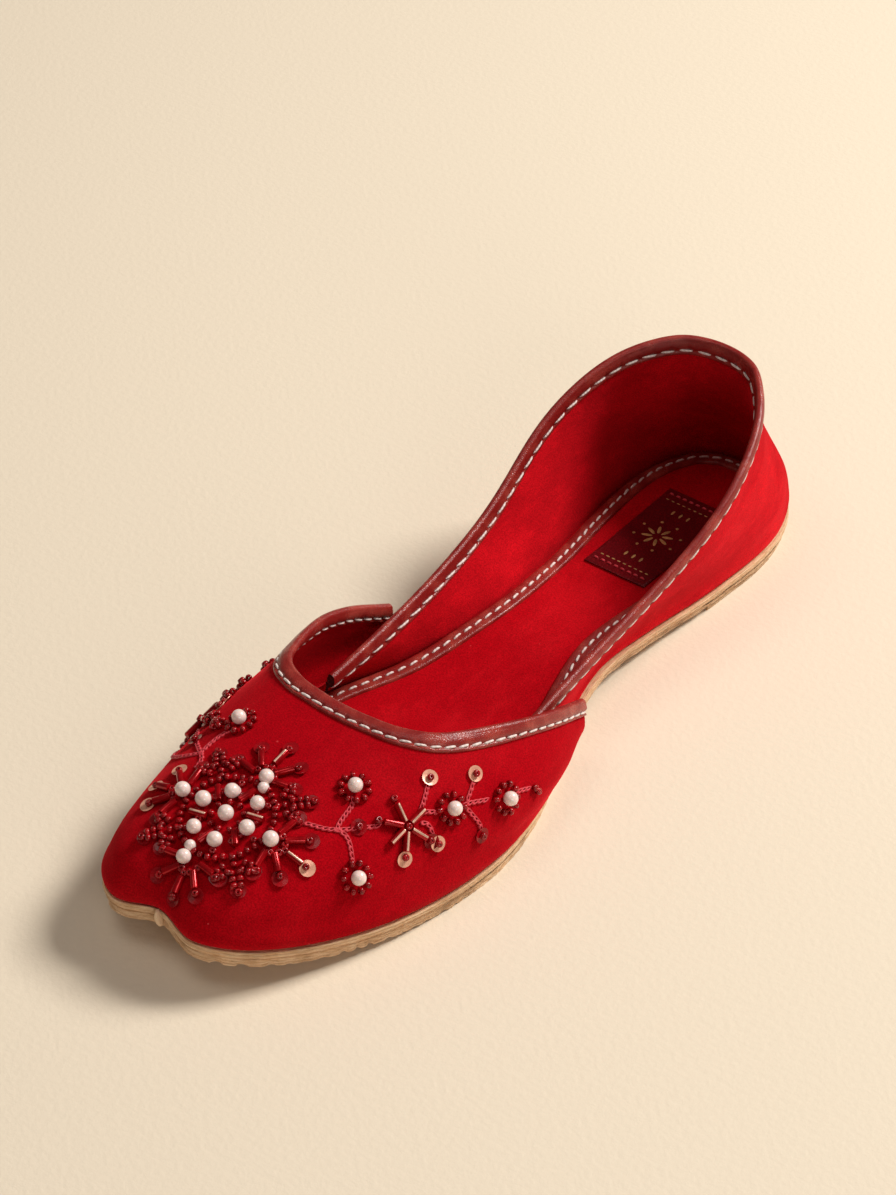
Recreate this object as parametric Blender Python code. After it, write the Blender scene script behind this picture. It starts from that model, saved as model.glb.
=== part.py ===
"""Left mojari shoe: layered leather sole, hollow velvet upper, insole and folded leather bindings.

Metres, +Z up, the shoe stands on z = 0 with its toe towards -Y. A place on the shoe is written as
(along, across, height): along runs from the toe to the heel, across is positive on the outer side.
"""
import math

import bmesh
import bpy
import numpy as np
from mathutils import Matrix, Vector

# Overall sizes
SHOE_LENGTH = 0.255
BALL_WIDTH = 0.0840
WAIST_WIDTH = 0.041
HEEL_WIDTH = 0.0496
TOE_LEAN = 0.0078
TOE_RISE = 0.0082
TOE_PEAK = 0.0026
TOE_NOTCH = 0.0061
ARCH_RISE = 0.0022

# Sole layers
OUTSOLE_THICKNESS = 0.0027
OUTSOLE_REAR_THICKNESS = 0.0014
MIDSOLE_THICKNESS = 0.0023
LIFT_THICKNESS = 0.0017
LIFT_LENGTH = 0.056
SOLE_EDGE_STEP = 0.0008
SOLE_ACROSS_POINTS = 9
LIFT_ACROSS_POINTS = 5
LIFT_INSET = 0.0012
FIT_GAP = 0.0003

# Places along the sole, in shares of its length
LEAN_END = 0.42
SPRING_END = 0.25
PEAK_FADE = 0.045
PEAK_SPREAD = 0.09
NOTCH_FULL = 0.03
NOTCH_END = 0.22
SEAT_START = 0.42
SEAT_FULL = 0.62
ARCH_FULL = 0.58
ARCH_END = 0.77

# Upper
WALL = 0.0018
THROAT_HEIGHT = 0.0412
COUNTER_HEIGHT = 0.0608
UPPER_INSET = 0.0011
QUARTER_TUCK = 0.0011
TUCK_START = 0.66
TUCK_FULL = 0.90
FOOT_STEP = 0.0008
VAMP_STATIONS = 41
VAMP_LEVELS = 6
QUARTER_STATIONS = 45
QUARTER_LEVELS = 5

# Bindings
TAPE = 0.0008
THROAT_BAND = 0.0062
TOPLINE_BAND = 0.0056
INSOLE_BAND = 0.0040

# Insole and label
INSOLE_THICKNESS = 0.0020
INSOLE_PADDING = 0.0022
INSOLE_CLEARANCE = 0.0008
INSOLE_STATIONS = 31
INSOLE_SKIPPED_STATIONS = 2
LABEL_WIDTH = 0.0205
LABEL_LENGTH = 0.0430
LABEL_THICKNESS = 0.0006
LABEL_CENTRE = 0.808 * SHOE_LENGTH

# Pearls
PEARL = 0.0044

# Sole outline from toe to heel: along as a share of the length, then half the width as shares of
# half the ball, waist and heel widths
OUTLINE = (
    # along, ball, waist, heel
    (0.000, 0.000, 0.000, 0.000),
    (-0.009, 0.310, 0.000, 0.000),
    (0.018, 0.560, 0.000, 0.000),
    (0.078, 0.760, 0.000, 0.000),
    (0.172, 0.928, 0.000, 0.000),
    (0.294, 1.000, 0.000, 0.000),
    (0.392, 0.890, 0.000, 0.000),
    (0.490, 0.655, 0.000, 0.000),
    (0.588, 0.000, 1.020, 0.000),
    (0.686, 0.000, 0.000, 0.860),
    (0.804, 0.000, 0.000, 0.990),
    (0.902, 0.000, 0.000, 1.000),
    (0.968, 0.000, 0.000, 0.755),
    (0.996, 0.000, 0.000, 0.370),
    (1.000, 0.000, 0.000, 0.000),
)

# Vamp from the toe round to its corner: where the profile stands on the outline (share of the way
# from toe to heel), the throat edge (shares of length, half ball width and throat height), and
# the fullness of the profile (shares of its rise or reach, the bulge in shares of half ball width)
VAMP = (
    # foot, along, across, height, lift, bulge, reach, drop
    (0.000, 0.260, 0.000, 0.990, 0.60, 0.050, 0.48, 0.20),
    (0.075, 0.261, 0.180, 0.995, 0.60, 0.060, 0.48, 0.20),
    (0.170, 0.267, 0.410, 1.000, 0.56, 0.050, 0.44, 0.19),
    (0.280, 0.292, 0.620, 0.975, 0.52, 0.070, 0.36, 0.17),
    (0.400, 0.365, 0.790, 0.860, 0.34, 0.240, 0.24, 0.22),
    (0.450, 0.424, 0.826, 0.722, 0.28, 0.270, 0.16, 0.28),
    (0.500, 0.486, 0.780, 0.529, 0.25, 0.230, 0.08, 0.30),
)

# Quarter from the back of the heel to its front end inside the vamp; across is in shares of half
# the heel width, height in shares of the counter height
QUARTER = (
    # foot, along, across, height, lift, bulge, reach, drop
    (1.000, 0.925, 0.000, 1.000, 0.30, 0.065, -0.08, 0.42),
    (0.965, 0.918, 0.365, 1.000, 0.30, 0.070, -0.06, 0.42),
    (0.925, 0.896, 0.660, 0.992, 0.32, 0.080, -0.04, 0.42),
    (0.870, 0.840, 1.050, 0.930, 0.34, 0.090, 0.00, 0.40),
    (0.785, 0.750, 1.260, 0.762, 0.38, 0.075, 0.00, 0.38),
    (0.690, 0.652, 1.155, 0.560, 0.40, 0.050, 0.00, 0.36),
    (0.590, 0.540, 1.090, 0.445, 0.40, 0.020, 0.00, 0.34),
    (0.480, 0.436, 1.095, 0.372, 0.40, 0.000, 0.00, 0.33),
    (0.385, 0.352, 1.115, 0.325, 0.40, 0.000, 0.00, 0.33),
)

# Pearls of the embroidery on the vamp: a rosette of two rings, then flowers on both sides
ROSETTE_CENTRE = (0.0225, 0.0008)
PEARL_RINGS = (
    # count, radius, first angle in degrees
    (1, 0.0000, 0.0),
    (6, 0.0074, 33.0),
    (4, 0.0137, 0.0),
)
FLOWERS = (
    # round, level: place on the vamp's own surface, round to its corner and up to the throat
    (0.260, 0.738),
    (0.335, 0.321),
    (0.495, 0.508),
    (0.585, 0.440),
    (-0.270, 0.751),
    (-0.450, 0.190),
    (-0.545, 0.270),
    (-0.630, 0.370),
)


def smoothstep(low, high, value):
    """Ease from 0 to 1 as value goes from low to high."""
    share = np.clip((np.asarray(value, float) - low) / (high - low), 0.0, 1.0)
    return share * share * (3.0 - 2.0 * share)


def trace(rows, mirror, shares):
    """Read a smooth curve through the rows; mirror gives each column's sign past either end."""
    rows = np.asarray(rows, float)
    mirror = np.asarray(mirror, float)
    steps = np.linalg.norm(np.diff(rows, axis=0), axis=1)
    knots = np.concatenate([[0.0], np.cumsum(steps)])
    knots = knots / knots[-1]
    ghost = np.vstack([rows[1] * mirror, rows, rows[-2] * mirror])
    before = np.concatenate([[-knots[1]], knots, [2.0 - knots[-2]]])
    slopes = (ghost[2:] - ghost[:-2]) / (before[2:] - before[:-2])[:, None]
    shares = np.clip(np.asarray(shares, float), 0.0, 1.0)
    index = np.clip(np.searchsorted(knots, shares, side="right") - 1, 0, len(rows) - 2)
    span = knots[index + 1] - knots[index]
    t = ((shares - knots[index]) / span)[..., None]
    span = span[..., None]
    first = (2 * t ** 3 - 3 * t ** 2 + 1) * rows[index] + (t ** 3 - 2 * t ** 2 + t) * span * slopes[index]
    second = (3 * t ** 2 - 2 * t ** 3) * rows[index + 1] + (t ** 3 - t ** 2) * span * slopes[index + 1]
    return first + second


def outline_rows(table):
    """Turn an outline table into lengths along and across."""
    table = np.asarray(table, float)
    half = 0.5 * np.array([BALL_WIDTH, WAIST_WIDTH, HEEL_WIDTH])
    return np.stack([table[:, 0] * SHOE_LENGTH, table[:, 1:] @ half], axis=1)


def outline(table, shares, inset=0.0):
    """Points on an outline, inset inwards; shares run -1 to 1, negative on the inner side."""
    shares = np.asarray(shares, float)
    side = np.where(shares < 0, -1.0, 1.0)
    rows = outline_rows(table)
    here = trace(rows, (1, -1), np.abs(shares))
    small = 0.002
    ahead = trace(rows, (1, -1), np.minimum(np.abs(shares) + small, 1.0))
    behind = trace(rows, (1, -1), np.maximum(np.abs(shares) - small, 0.0))
    tangent = ahead - behind
    tangent /= np.linalg.norm(tangent, axis=-1, keepdims=True)
    at_end = (np.abs(shares) < small) | (np.abs(shares) > 1.0 - small)
    square = np.stack([0 * shares, np.where(np.abs(shares) < 0.5, 1.0, -1.0)], -1)
    tangent = np.where(at_end[..., None], square, tangent)
    outward = np.stack([-tangent[..., 1], tangent[..., 0]], axis=-1)
    here = here - outward * np.asarray(inset, float)[..., None]
    here[..., 1] *= side
    outward[..., 1] *= side
    return here, outward


def world(along, across, height):
    """Place on the shoe to metres in the part's frame, before it is centred."""
    lean = np.clip(1.0 - along / (LEAN_END * SHOE_LENGTH), 0.0, None) ** 2
    return np.stack([across - TOE_LEAN * lean, along, height], axis=-1)


def sole_bottom(along, across):
    """Height of the outsole's underside: toe spring, flat ball, arch and heel seat."""
    share = along / SHOE_LENGTH
    spring = TOE_RISE * np.clip(1.0 - share / SPRING_END, 0.0, None) ** 2
    ridge = np.exp(-(across / (PEAK_SPREAD * BALL_WIDTH)) ** 2)
    peak = TOE_PEAK * ridge * np.exp(-np.clip(share, 0, None) / PEAK_FADE)
    seat = (LIFT_THICKNESS + FIT_GAP) * smoothstep(SEAT_START, SEAT_FULL, share)
    arch = ARCH_RISE * smoothstep(SEAT_START, ARCH_FULL, share)
    arch = arch * (1.0 - smoothstep(ARCH_FULL, ARCH_END, share))
    return spring + peak + seat + arch


def outsole_thickness(along):
    """Outsole thickness, skived thinner behind the ball."""
    rear = smoothstep(0.40, 0.56, along / SHOE_LENGTH)
    return OUTSOLE_THICKNESS + (OUTSOLE_REAR_THICKNESS - OUTSOLE_THICKNESS) * rear


def midsole_bottom(along, across):
    """Height of the underside of the sole's upper layer."""
    return sole_bottom(along, across) + outsole_thickness(along) + FIT_GAP


def sole_top(along, across):
    """Height of the top of the sole, on which the upper and the insole stand."""
    return midsole_bottom(along, across) + MIDSOLE_THICKNESS


def finish_object(name, vertices, faces, material):
    """Make one mesh object with its own material in the part's collection."""
    mesh = bpy.data.meshes.new(name)
    mesh.from_pydata([tuple(v) for v in vertices], [], faces)
    mesh.validate()
    mesh.update()
    for polygon in mesh.polygons:
        polygon.use_smooth = True
    made = bpy.data.objects.new(name, mesh)
    made.data.materials.append(material)
    collection.objects.link(made)
    return made


def loft(name, rings, material, closed=False):
    """Close a run of equal rings into a solid; end rings are capped unless the run is a loop."""
    rings = np.asarray(rings, float)
    count, around = rings.shape[:2]
    vertices = rings.reshape(-1, 3)
    faces = []
    runs = count if closed else count - 1
    for i in range(runs):
        j = (i + 1) % count
        for k in range(around):
            m = (k + 1) % around
            faces.append((i * around + k, i * around + m, j * around + m, j * around + k))
    if not closed:
        faces.append(tuple(range(around))[::-1])
        faces.append(tuple((count - 1) * around + k for k in range(around)))
    made = finish_object(name, vertices, faces, material)
    split_quads(made)
    point_outwards(made)
    return made


def split_quads(made):
    """Cut twisted quads along their shorter diagonal, so that facing skins bend alike."""
    cut = bmesh.new()
    cut.from_mesh(made.data)
    quads = [face for face in cut.faces if len(face.verts) == 4]
    bmesh.ops.triangulate(cut, faces=quads, quad_method="SHORT_EDGE")
    cut.to_mesh(made.data)
    cut.free()


def point_outwards(made):
    """Turn the faces outwards when the enclosed volume comes out negative."""
    mesh = made.data
    mesh.calc_loop_triangles()
    volume = 0.0
    for triangle in mesh.loop_triangles:
        a, b, c = (mesh.vertices[i].co for i in triangle.vertices)
        volume += a.dot(b.cross(c))
    if volume < 0:
        mesh.flip_normals()


def sole_row(share, inset, across_count):
    """One row across a sole layer: along and across for points from the inner to the outer side."""
    edge, _ = outline(OUTLINE, np.array([share]), np.array([inset]))
    along, across = edge[0]
    position = np.linspace(-1.0, 1.0, across_count)
    opening = smoothstep(0.0, NOTCH_FULL, share)
    notch = TOE_NOTCH * opening * (1.0 - smoothstep(0.0, NOTCH_END, share))
    return along + notch * (1.0 - position ** 2), across * position


def slab(name, shares, inset, bottom, top, material, across_count):
    """A sole layer between two height functions, its long edges at the outline."""
    rings = []
    for share in shares:
        along, across = sole_row(share, inset, across_count)
        low = world(along, across, bottom(along, across))
        high = world(along, across, top(along, across))
        rings.append(np.concatenate([low, high[::-1]]))
    return loft(name, rings, material)


def strip_point(table, sizes, shares, inset):
    """Foot, edge and the two middle points of the profile at each share of a strip."""
    table = np.asarray(table, float)
    length_size, width_size, height_size = sizes
    shares = np.asarray(shares, float)
    side = np.where(shares < 0, -1.0, 1.0)
    row_share = np.linspace(0.0, 1.0, len(table))
    values = np.stack([hermite(row_share, table[:, k], np.abs(shares), k == 2) for k in range(8)], -1)
    foot_plan, outward = outline(OUTLINE, values[..., 0] * side, inset)
    foot_height = sole_top(foot_plan[..., 0], foot_plan[..., 1]) + FIT_GAP
    foot = np.stack([foot_plan[..., 0], foot_plan[..., 1], foot_height], -1)
    edge = np.stack([values[..., 1] * length_size, values[..., 2] * width_size * side,
                     values[..., 3] * height_size], -1)
    rise = edge[..., 2] - foot_height
    start = foot + np.array([0, 0, FOOT_STEP])
    one = start.copy()
    one[..., 2] += values[..., 4] * rise
    one[..., :2] += outward * (values[..., 5] * BALL_WIDTH / 2)[..., None]
    two = edge.copy()
    two[..., :2] += (foot[..., :2] - edge[..., :2]) * values[..., 6:7]
    two[..., 2] -= values[..., 7] * rise
    return foot, start, one, two, edge


def hermite(knots, values, shares, odd):
    """Smooth curve through values; the first end mirrors with the given parity."""
    ghost = -values[1] if odd else values[1]
    extended = np.concatenate([[ghost], values, [2 * values[-1] - values[-2]]])
    step = knots[1] - knots[0]
    slopes = (extended[2:] - extended[:-2]) / (2 * step)
    index = np.clip((shares / step).astype(int), 0, len(values) - 2)
    t = shares / step - index
    first = (2 * t ** 3 - 3 * t ** 2 + 1) * values[index] + (t ** 3 - 2 * t ** 2 + t) * step * slopes[index]
    second = (3 * t ** 2 - 2 * t ** 3) * values[index + 1] + (t ** 3 - t ** 2) * step * slopes[index + 1]
    return first + second


def vamp_surface(shares, levels):
    """Outer face of the vamp: shares -1 to 1 round the toe, levels 0 at the sole to 1 at the throat."""
    return profile_surface(VAMP, (SHOE_LENGTH, BALL_WIDTH / 2, THROAT_HEIGHT), shares, levels,
                           UPPER_INSET + 0 * np.asarray(shares, float))


def quarter_surface(shares, levels):
    """Outer face of the quarter: shares -1 to 1 round the heel, tucked inside the vamp in front."""
    shares = np.asarray(shares, float)
    tuck = QUARTER_TUCK * smoothstep(TUCK_START, TUCK_FULL, np.abs(shares))
    return profile_surface(QUARTER, (SHOE_LENGTH, HEEL_WIDTH / 2, COUNTER_HEIGHT), shares, levels,
                           UPPER_INSET + tuck)


def profile_surface(table, sizes, shares, levels, inset):
    """Points on a strip of the upper, in shoe places, then turned to metres."""
    foot, start, one, two, edge = strip_point(table, sizes, shares, inset)
    t = np.asarray(levels, float)[..., None]
    curve = ((1 - t) ** 3 * start + 3 * (1 - t) ** 2 * t * one + 3 * (1 - t) * t ** 2 * two + t ** 3 * edge)
    below = np.asarray(levels, float)[..., None] < 0
    point = np.where(below, foot, curve)
    return world(point[..., 0], point[..., 1], point[..., 2])


def surface_frame(surface, shares, levels):
    """Point and outward normal on a strip's outer face."""
    shares = np.asarray(shares, float)
    levels = np.asarray(levels, float)
    small = 0.004
    here = surface(shares, levels)
    low = np.clip(levels - small, 0.0, 1.0 - small)
    high = np.clip(levels + small, small, 1.0)
    up = surface(shares, high) - surface(shares, low)
    before = surface(np.clip(shares - small, -1, 1), levels)
    after = surface(np.clip(shares + small, -1, 1), levels)
    round_way = after - before
    normal = np.cross(round_way, up)
    normal /= np.linalg.norm(normal, axis=-1, keepdims=True)
    outside = here - world(0.45 * SHOE_LENGTH + 0 * shares, 0 * shares, 0.012 + 0 * shares)
    flip = np.sign((normal * outside).sum(-1, keepdims=True))
    return here, normal * flip


def station_levels(surface, share, level_count, band):
    """Levels of a wall section, the last three at the tape's edge, its middle and the free edge."""
    edge_levels = levels_below_edge(surface, share, np.array([band, band / 2, 0.0]))
    return np.concatenate([np.linspace(0.0, edge_levels[0], level_count)[:-1], edge_levels])


def wall_rings(surface, shares, level_count, band):
    """Closed section rings of a wall: up its outer face and down its inner face."""
    rings = []
    for share in shares:
        levels = station_levels(surface, share, level_count, band)
        here, normal = surface_frame(surface, np.full(len(levels), share), levels)
        foot = surface(np.array([share]), np.array([-1.0]))
        level_normal = normal.copy()
        flat = normal[0] * np.array([1, 1, 0])
        flat /= np.linalg.norm(flat)
        level_normal[0] = flat
        inner = here - level_normal * WALL
        inner_foot = foot - flat * WALL
        rings.append(np.concatenate([foot, here, inner[::-1], inner_foot]))
    return rings


def tape_rings(surface, shares, band):
    """Closed section rings of a tape folded over the free edge of a strip."""
    near = FIT_GAP
    far = FIT_GAP + TAPE
    rings = []
    for share in shares:
        levels = levels_below_edge(surface, share, np.array([band, band / 2, 0.0]))
        here, normal = surface_frame(surface, np.full(len(levels), share), levels)
        up = here[-1] - here[-2]
        up /= np.linalg.norm(up)
        out = normal[-1]
        edge = here[-1]
        rings.append(np.concatenate([
            here + normal * far,
            [edge + out * 0.6 * far + up * 0.85 * far],
            [edge - out * 0.5 * WALL + up * far],
            [edge - out * (WALL + 0.6 * far) + up * 0.85 * far],
            (here - normal * (WALL + far))[::-1],
            here - normal * (WALL + near),
            [edge - out * (WALL + near) + up * near],
            [edge + out * near + up * near],
            (here + normal * near)[::-1],
        ]))
    return rings


def levels_below_edge(surface, share, depths):
    """Levels whose distance down the profile from the free edge is each depth."""
    fine = np.linspace(0.0, 1.0, 161)
    points = surface(np.full(len(fine), share), fine)
    steps = np.linalg.norm(np.diff(points, axis=0), axis=1)
    run = np.concatenate([[0.0], np.cumsum(steps)])
    from_edge = run[-1] - run
    return np.interp(-np.asarray(depths), -from_edge, fine)


def union(target, other):
    """Join two solids into one closed body."""
    modifier = target.modifiers.new("join", "BOOLEAN")
    modifier.operation = "UNION"
    modifier.solver = "EXACT"
    modifier.object = other
    bpy.context.view_layer.objects.active = target
    for selected in bpy.context.selected_objects:
        selected.select_set(False)
    target.select_set(True)
    bpy.ops.object.modifier_apply(modifier=modifier.name)
    bpy.data.objects.remove(other, do_unlink=True)


def material(name, colour, roughness):
    """One plain material."""
    made = bpy.data.materials.new(name)
    made.use_nodes = True
    shader = made.node_tree.nodes["Principled BSDF"]
    shader.inputs["Base Color"].default_value = (*colour, 1.0)
    shader.inputs["Roughness"].default_value = roughness
    return made


def build_sole():
    """Outsole, upper sole layer and heel lift."""
    shares = np.concatenate([[0.006, 0.02], np.linspace(0.045, 0.955, 29), [0.98, 0.994]])
    slab("outsole", shares, SOLE_EDGE_STEP, sole_bottom,
         lambda along, across: sole_bottom(along, across) + outsole_thickness(along),
         material("sole_leather", (0.42, 0.25, 0.13), 0.7), SOLE_ACROSS_POINTS)
    slab("midsole", shares, 0.0, midsole_bottom, sole_top,
         material("midsole_leather", (0.50, 0.31, 0.17), 0.65), SOLE_ACROSS_POINTS)
    fine = np.linspace(0.5, 1.0, 400)
    along = trace(outline_rows(OUTLINE), (1, -1), fine)[:, 0]
    start = float(np.interp(SHOE_LENGTH - LIFT_LENGTH, along, fine))
    lift_shares = np.concatenate([np.linspace(start, 0.955, 14), [0.98, 0.993]])
    slab("heel_lift", lift_shares, LIFT_INSET, lambda along, across: 0 * along,
         lambda along, across: sole_bottom(along, across) - FIT_GAP,
         material("heel_leather", (0.38, 0.22, 0.11), 0.75), LIFT_ACROSS_POINTS)


def build_upper():
    """Vamp and quarter joined into one hollow solid, and the tapes folded over their edges."""
    vamp_shares = np.linspace(-1.0, 1.0, VAMP_STATIONS)
    quarter_shares = np.linspace(-1.0, 1.0, QUARTER_STATIONS)
    velvet = material("upper_velvet", (0.45, 0.01, 0.02), 0.85)
    vamp = loft("upper", wall_rings(vamp_surface, vamp_shares, VAMP_LEVELS, THROAT_BAND), velvet)
    quarter_rings = wall_rings(quarter_surface, quarter_shares, QUARTER_LEVELS, TOPLINE_BAND)
    quarter = loft("quarter", quarter_rings, velvet)
    union(vamp, quarter)
    loft("throat_binding", tape_rings(vamp_surface, vamp_shares, THROAT_BAND),
         material("throat_tape", (0.30, 0.05, 0.05), 0.4))
    loft("topline_binding", tape_rings(quarter_surface, quarter_shares, TOPLINE_BAND),
         material("topline_tape", (0.30, 0.05, 0.05), 0.4))


def insole_inset(shares, tape):
    """Inset of the insole's foot from the sole's edge; tape adds the binding's thickness."""
    beside_quarter = QUARTER_TUCK * (1.0 - smoothstep(0.50, 0.58, np.abs(np.asarray(shares, float))))
    return UPPER_INSET + beside_quarter + WALL + INSOLE_CLEARANCE + tape


def insole_top(along, across):
    """Height of the insole's upper face, padded a little under the waist and the heel."""
    padding = INSOLE_PADDING * smoothstep(0.36, 0.62, along / SHOE_LENGTH)
    return sole_top(along, across) + FIT_GAP + INSOLE_THICKNESS + padding


def build_insole():
    """Insole board, the tape bound over its edge and the label patch."""
    stations = np.linspace(0.0, 1.0, INSOLE_STATIONS)[INSOLE_SKIPPED_STATIONS:]
    rings = []
    for share in stations[:-1]:
        along, across = sole_row(share, insole_inset(share, FIT_GAP + TAPE), 7)
        low = world(along, across, sole_top(along, across) + FIT_GAP)
        high = world(along, across, insole_top(along, across))
        rings.append(np.concatenate([low, high[::-1]]))
    loft("insole", rings, material("insole_velvet", (0.45, 0.01, 0.02), 0.85))
    rings = []
    over = FIT_GAP + TAPE
    for share in np.concatenate([stations, -stations[-2::-1]]):
        section = (
            # inset, height function, height above it
            (TAPE, sole_top, FIT_GAP),
            (0.0, sole_top, FIT_GAP),
            (0.0, insole_top, FIT_GAP),
            (TAPE, insole_top, over),
            (INSOLE_BAND / 2, insole_top, over),
            (INSOLE_BAND, insole_top, over),
            (INSOLE_BAND, insole_top, FIT_GAP),
            (INSOLE_BAND / 2, insole_top, FIT_GAP),
            (TAPE, insole_top, FIT_GAP),
        )
        ring = []
        for inset, height, above in section:
            plan, _ = outline(OUTLINE, np.array([share]), np.array([insole_inset(share, inset)]))
            along, across = plan[0]
            ring.append(world(along, across, height(along, across) + above))
        rings.append(ring)
    loft("insole_binding", rings, material("insole_tape", (0.25, 0.03, 0.04), 0.45))
    rings = []
    for share in np.linspace(-0.5, 0.5, 7):
        along = LABEL_CENTRE + LABEL_LENGTH * share + np.zeros(5)
        across = np.linspace(-0.5, 0.5, 5) * LABEL_WIDTH
        low = world(along, across, insole_top(along, across) + FIT_GAP)
        high = low + np.array([0, 0, LABEL_THICKNESS])
        rings.append(np.concatenate([low, high[::-1]]))
    loft("label", rings, material("label_leather", (0.12, 0.0, 0.02), 0.6))


def surface_at(along, across):
    """Point and outward normal of the vamp's outer face over a place seen from above."""
    shares, levels = np.meshgrid(np.linspace(-1, 1, 161), np.linspace(0.02, 0.99, 90), indexing="ij")
    here = vamp_surface(shares.ravel(), levels.ravel())
    target = world(np.array(along), np.array(across), np.array(0.0))
    nearest = int(np.argmin(((here[:, :2] - target[:2]) ** 2).sum(1)))
    point, normal = surface_frame(vamp_surface, shares.ravel()[[nearest]], levels.ravel()[[nearest]])
    return point[0], normal[0]


def build_pearls():
    """Pearl beads standing just off the velvet."""
    places = []
    for count, radius, first in PEARL_RINGS:
        for turn in range(count):
            angle = math.radians(first + 360.0 * turn / count)
            places.append(surface_at(ROSETTE_CENTRE[0] + radius * math.cos(angle),
                                     ROSETTE_CENTRE[1] + radius * math.sin(angle)))
    for share, level in FLOWERS:
        point, normal = surface_frame(vamp_surface, [share], [level])
        places.append((point[0], normal[0]))
    for number, (point, normal) in enumerate(places, start=1):
        centre = Vector(point + normal * (PEARL / 2 + FIT_GAP))
        bpy.ops.mesh.primitive_uv_sphere_add(segments=8, ring_count=5, radius=PEARL / 2)
        pearl = bpy.context.active_object
        pearl.name = f"pearl_{number:02d}"
        turn = Vector((0, 0, 1)).rotation_difference(Vector(normal)).to_matrix().to_4x4()
        pearl.data.transform(Matrix.Translation(centre) @ turn)
        bpy.ops.object.shade_smooth()
        pearl.data.materials.append(material(f"pearl_{number:02d}_glaze", (0.85, 0.80, 0.72), 0.25))
        for holder in list(pearl.users_collection):
            holder.objects.unlink(pearl)
        collection.objects.link(pearl)


def centre_on_origin():
    """Shift every mesh so that the middle of the bounding box's base is the origin."""
    corners = np.array([list(v.co) for made in collection.objects for v in made.data.vertices])
    low, high = corners.min(0), corners.max(0)
    shift = -np.array([(low[0] + high[0]) / 2, (low[1] + high[1]) / 2, low[2]])
    for made in collection.objects:
        for vertex in made.data.vertices:
            vertex.co = vertex.co + Vector(shift)
        made.data.update()


for existing in list(bpy.data.objects):
    bpy.data.objects.remove(existing, do_unlink=True)
collection = bpy.data.collections.new("mojari_shoe")
bpy.context.scene.collection.children.link(collection)
build_sole()
build_upper()
build_insole()
build_pearls()
centre_on_origin()
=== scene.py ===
"""Red velvet mojari shoe with leather bindings, saddle stitches and beadwork, on a pale floor.

A place on the shoe is written as (along, across, height): along runs from the toe to the heel and
across is positive on the outer side. Lengths are in metres.
"""
import math
import random

import bpy
import numpy as np
from bpy.props import FloatProperty, FloatVectorProperty, IntProperty, PointerProperty
from mathutils import Matrix, Vector, noise
from mathutils.bvhtree import BVHTree

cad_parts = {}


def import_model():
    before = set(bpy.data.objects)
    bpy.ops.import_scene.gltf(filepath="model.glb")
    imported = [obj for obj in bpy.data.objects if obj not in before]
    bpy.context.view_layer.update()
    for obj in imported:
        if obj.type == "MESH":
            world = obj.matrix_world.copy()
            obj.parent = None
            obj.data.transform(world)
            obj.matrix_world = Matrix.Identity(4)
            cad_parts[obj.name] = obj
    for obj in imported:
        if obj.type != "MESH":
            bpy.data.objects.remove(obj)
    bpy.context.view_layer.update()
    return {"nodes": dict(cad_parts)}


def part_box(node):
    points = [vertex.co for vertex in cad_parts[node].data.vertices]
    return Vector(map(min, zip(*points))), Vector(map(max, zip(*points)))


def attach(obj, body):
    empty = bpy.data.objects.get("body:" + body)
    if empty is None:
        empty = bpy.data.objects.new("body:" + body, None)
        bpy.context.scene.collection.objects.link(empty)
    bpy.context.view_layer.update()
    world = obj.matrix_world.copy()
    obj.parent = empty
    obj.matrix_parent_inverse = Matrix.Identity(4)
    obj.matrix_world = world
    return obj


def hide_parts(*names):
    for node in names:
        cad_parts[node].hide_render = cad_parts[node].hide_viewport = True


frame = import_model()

bl_info = {
    "name": "Mojari Shoe",
    "version": (1, 0, 0),
    "blender": (4, 5, 0),
    "location": "View3D > Sidebar > Mojari",
    "description": "Builds a velvet mojari shoe with bindings, stitches and beadwork",
    "category": "Object",
}

# Sole outline from toe to heel: along as a share of the length, then half the width as shares of
# half the ball, waist and heel widths
OUTLINE = (
    # along, ball, waist, heel
    (0.000, 0.000, 0.000, 0.000),
    (-0.009, 0.310, 0.000, 0.000),
    (0.018, 0.560, 0.000, 0.000),
    (0.078, 0.760, 0.000, 0.000),
    (0.172, 0.928, 0.000, 0.000),
    (0.294, 1.000, 0.000, 0.000),
    (0.392, 0.890, 0.000, 0.000),
    (0.490, 0.655, 0.000, 0.000),
    (0.588, 0.000, 1.020, 0.000),
    (0.686, 0.000, 0.000, 0.860),
    (0.804, 0.000, 0.000, 0.990),
    (0.902, 0.000, 0.000, 1.000),
    (0.968, 0.000, 0.000, 0.755),
    (0.996, 0.000, 0.000, 0.370),
    (1.000, 0.000, 0.000, 0.000),
)

# Vamp from the toe round to its corner: foot on the outline, throat edge, fullness of the profile
VAMP = (
    # foot, along, across, height, lift, bulge, reach, drop
    (0.000, 0.260, 0.000, 0.990, 0.60, 0.050, 0.48, 0.20),
    (0.075, 0.261, 0.180, 0.995, 0.60, 0.060, 0.48, 0.20),
    (0.170, 0.267, 0.410, 1.000, 0.56, 0.050, 0.44, 0.19),
    (0.280, 0.292, 0.620, 0.975, 0.52, 0.070, 0.36, 0.17),
    (0.400, 0.365, 0.790, 0.860, 0.34, 0.240, 0.24, 0.22),
    (0.450, 0.424, 0.826, 0.722, 0.28, 0.270, 0.16, 0.28),
    (0.500, 0.486, 0.780, 0.529, 0.25, 0.230, 0.08, 0.30),
)

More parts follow.
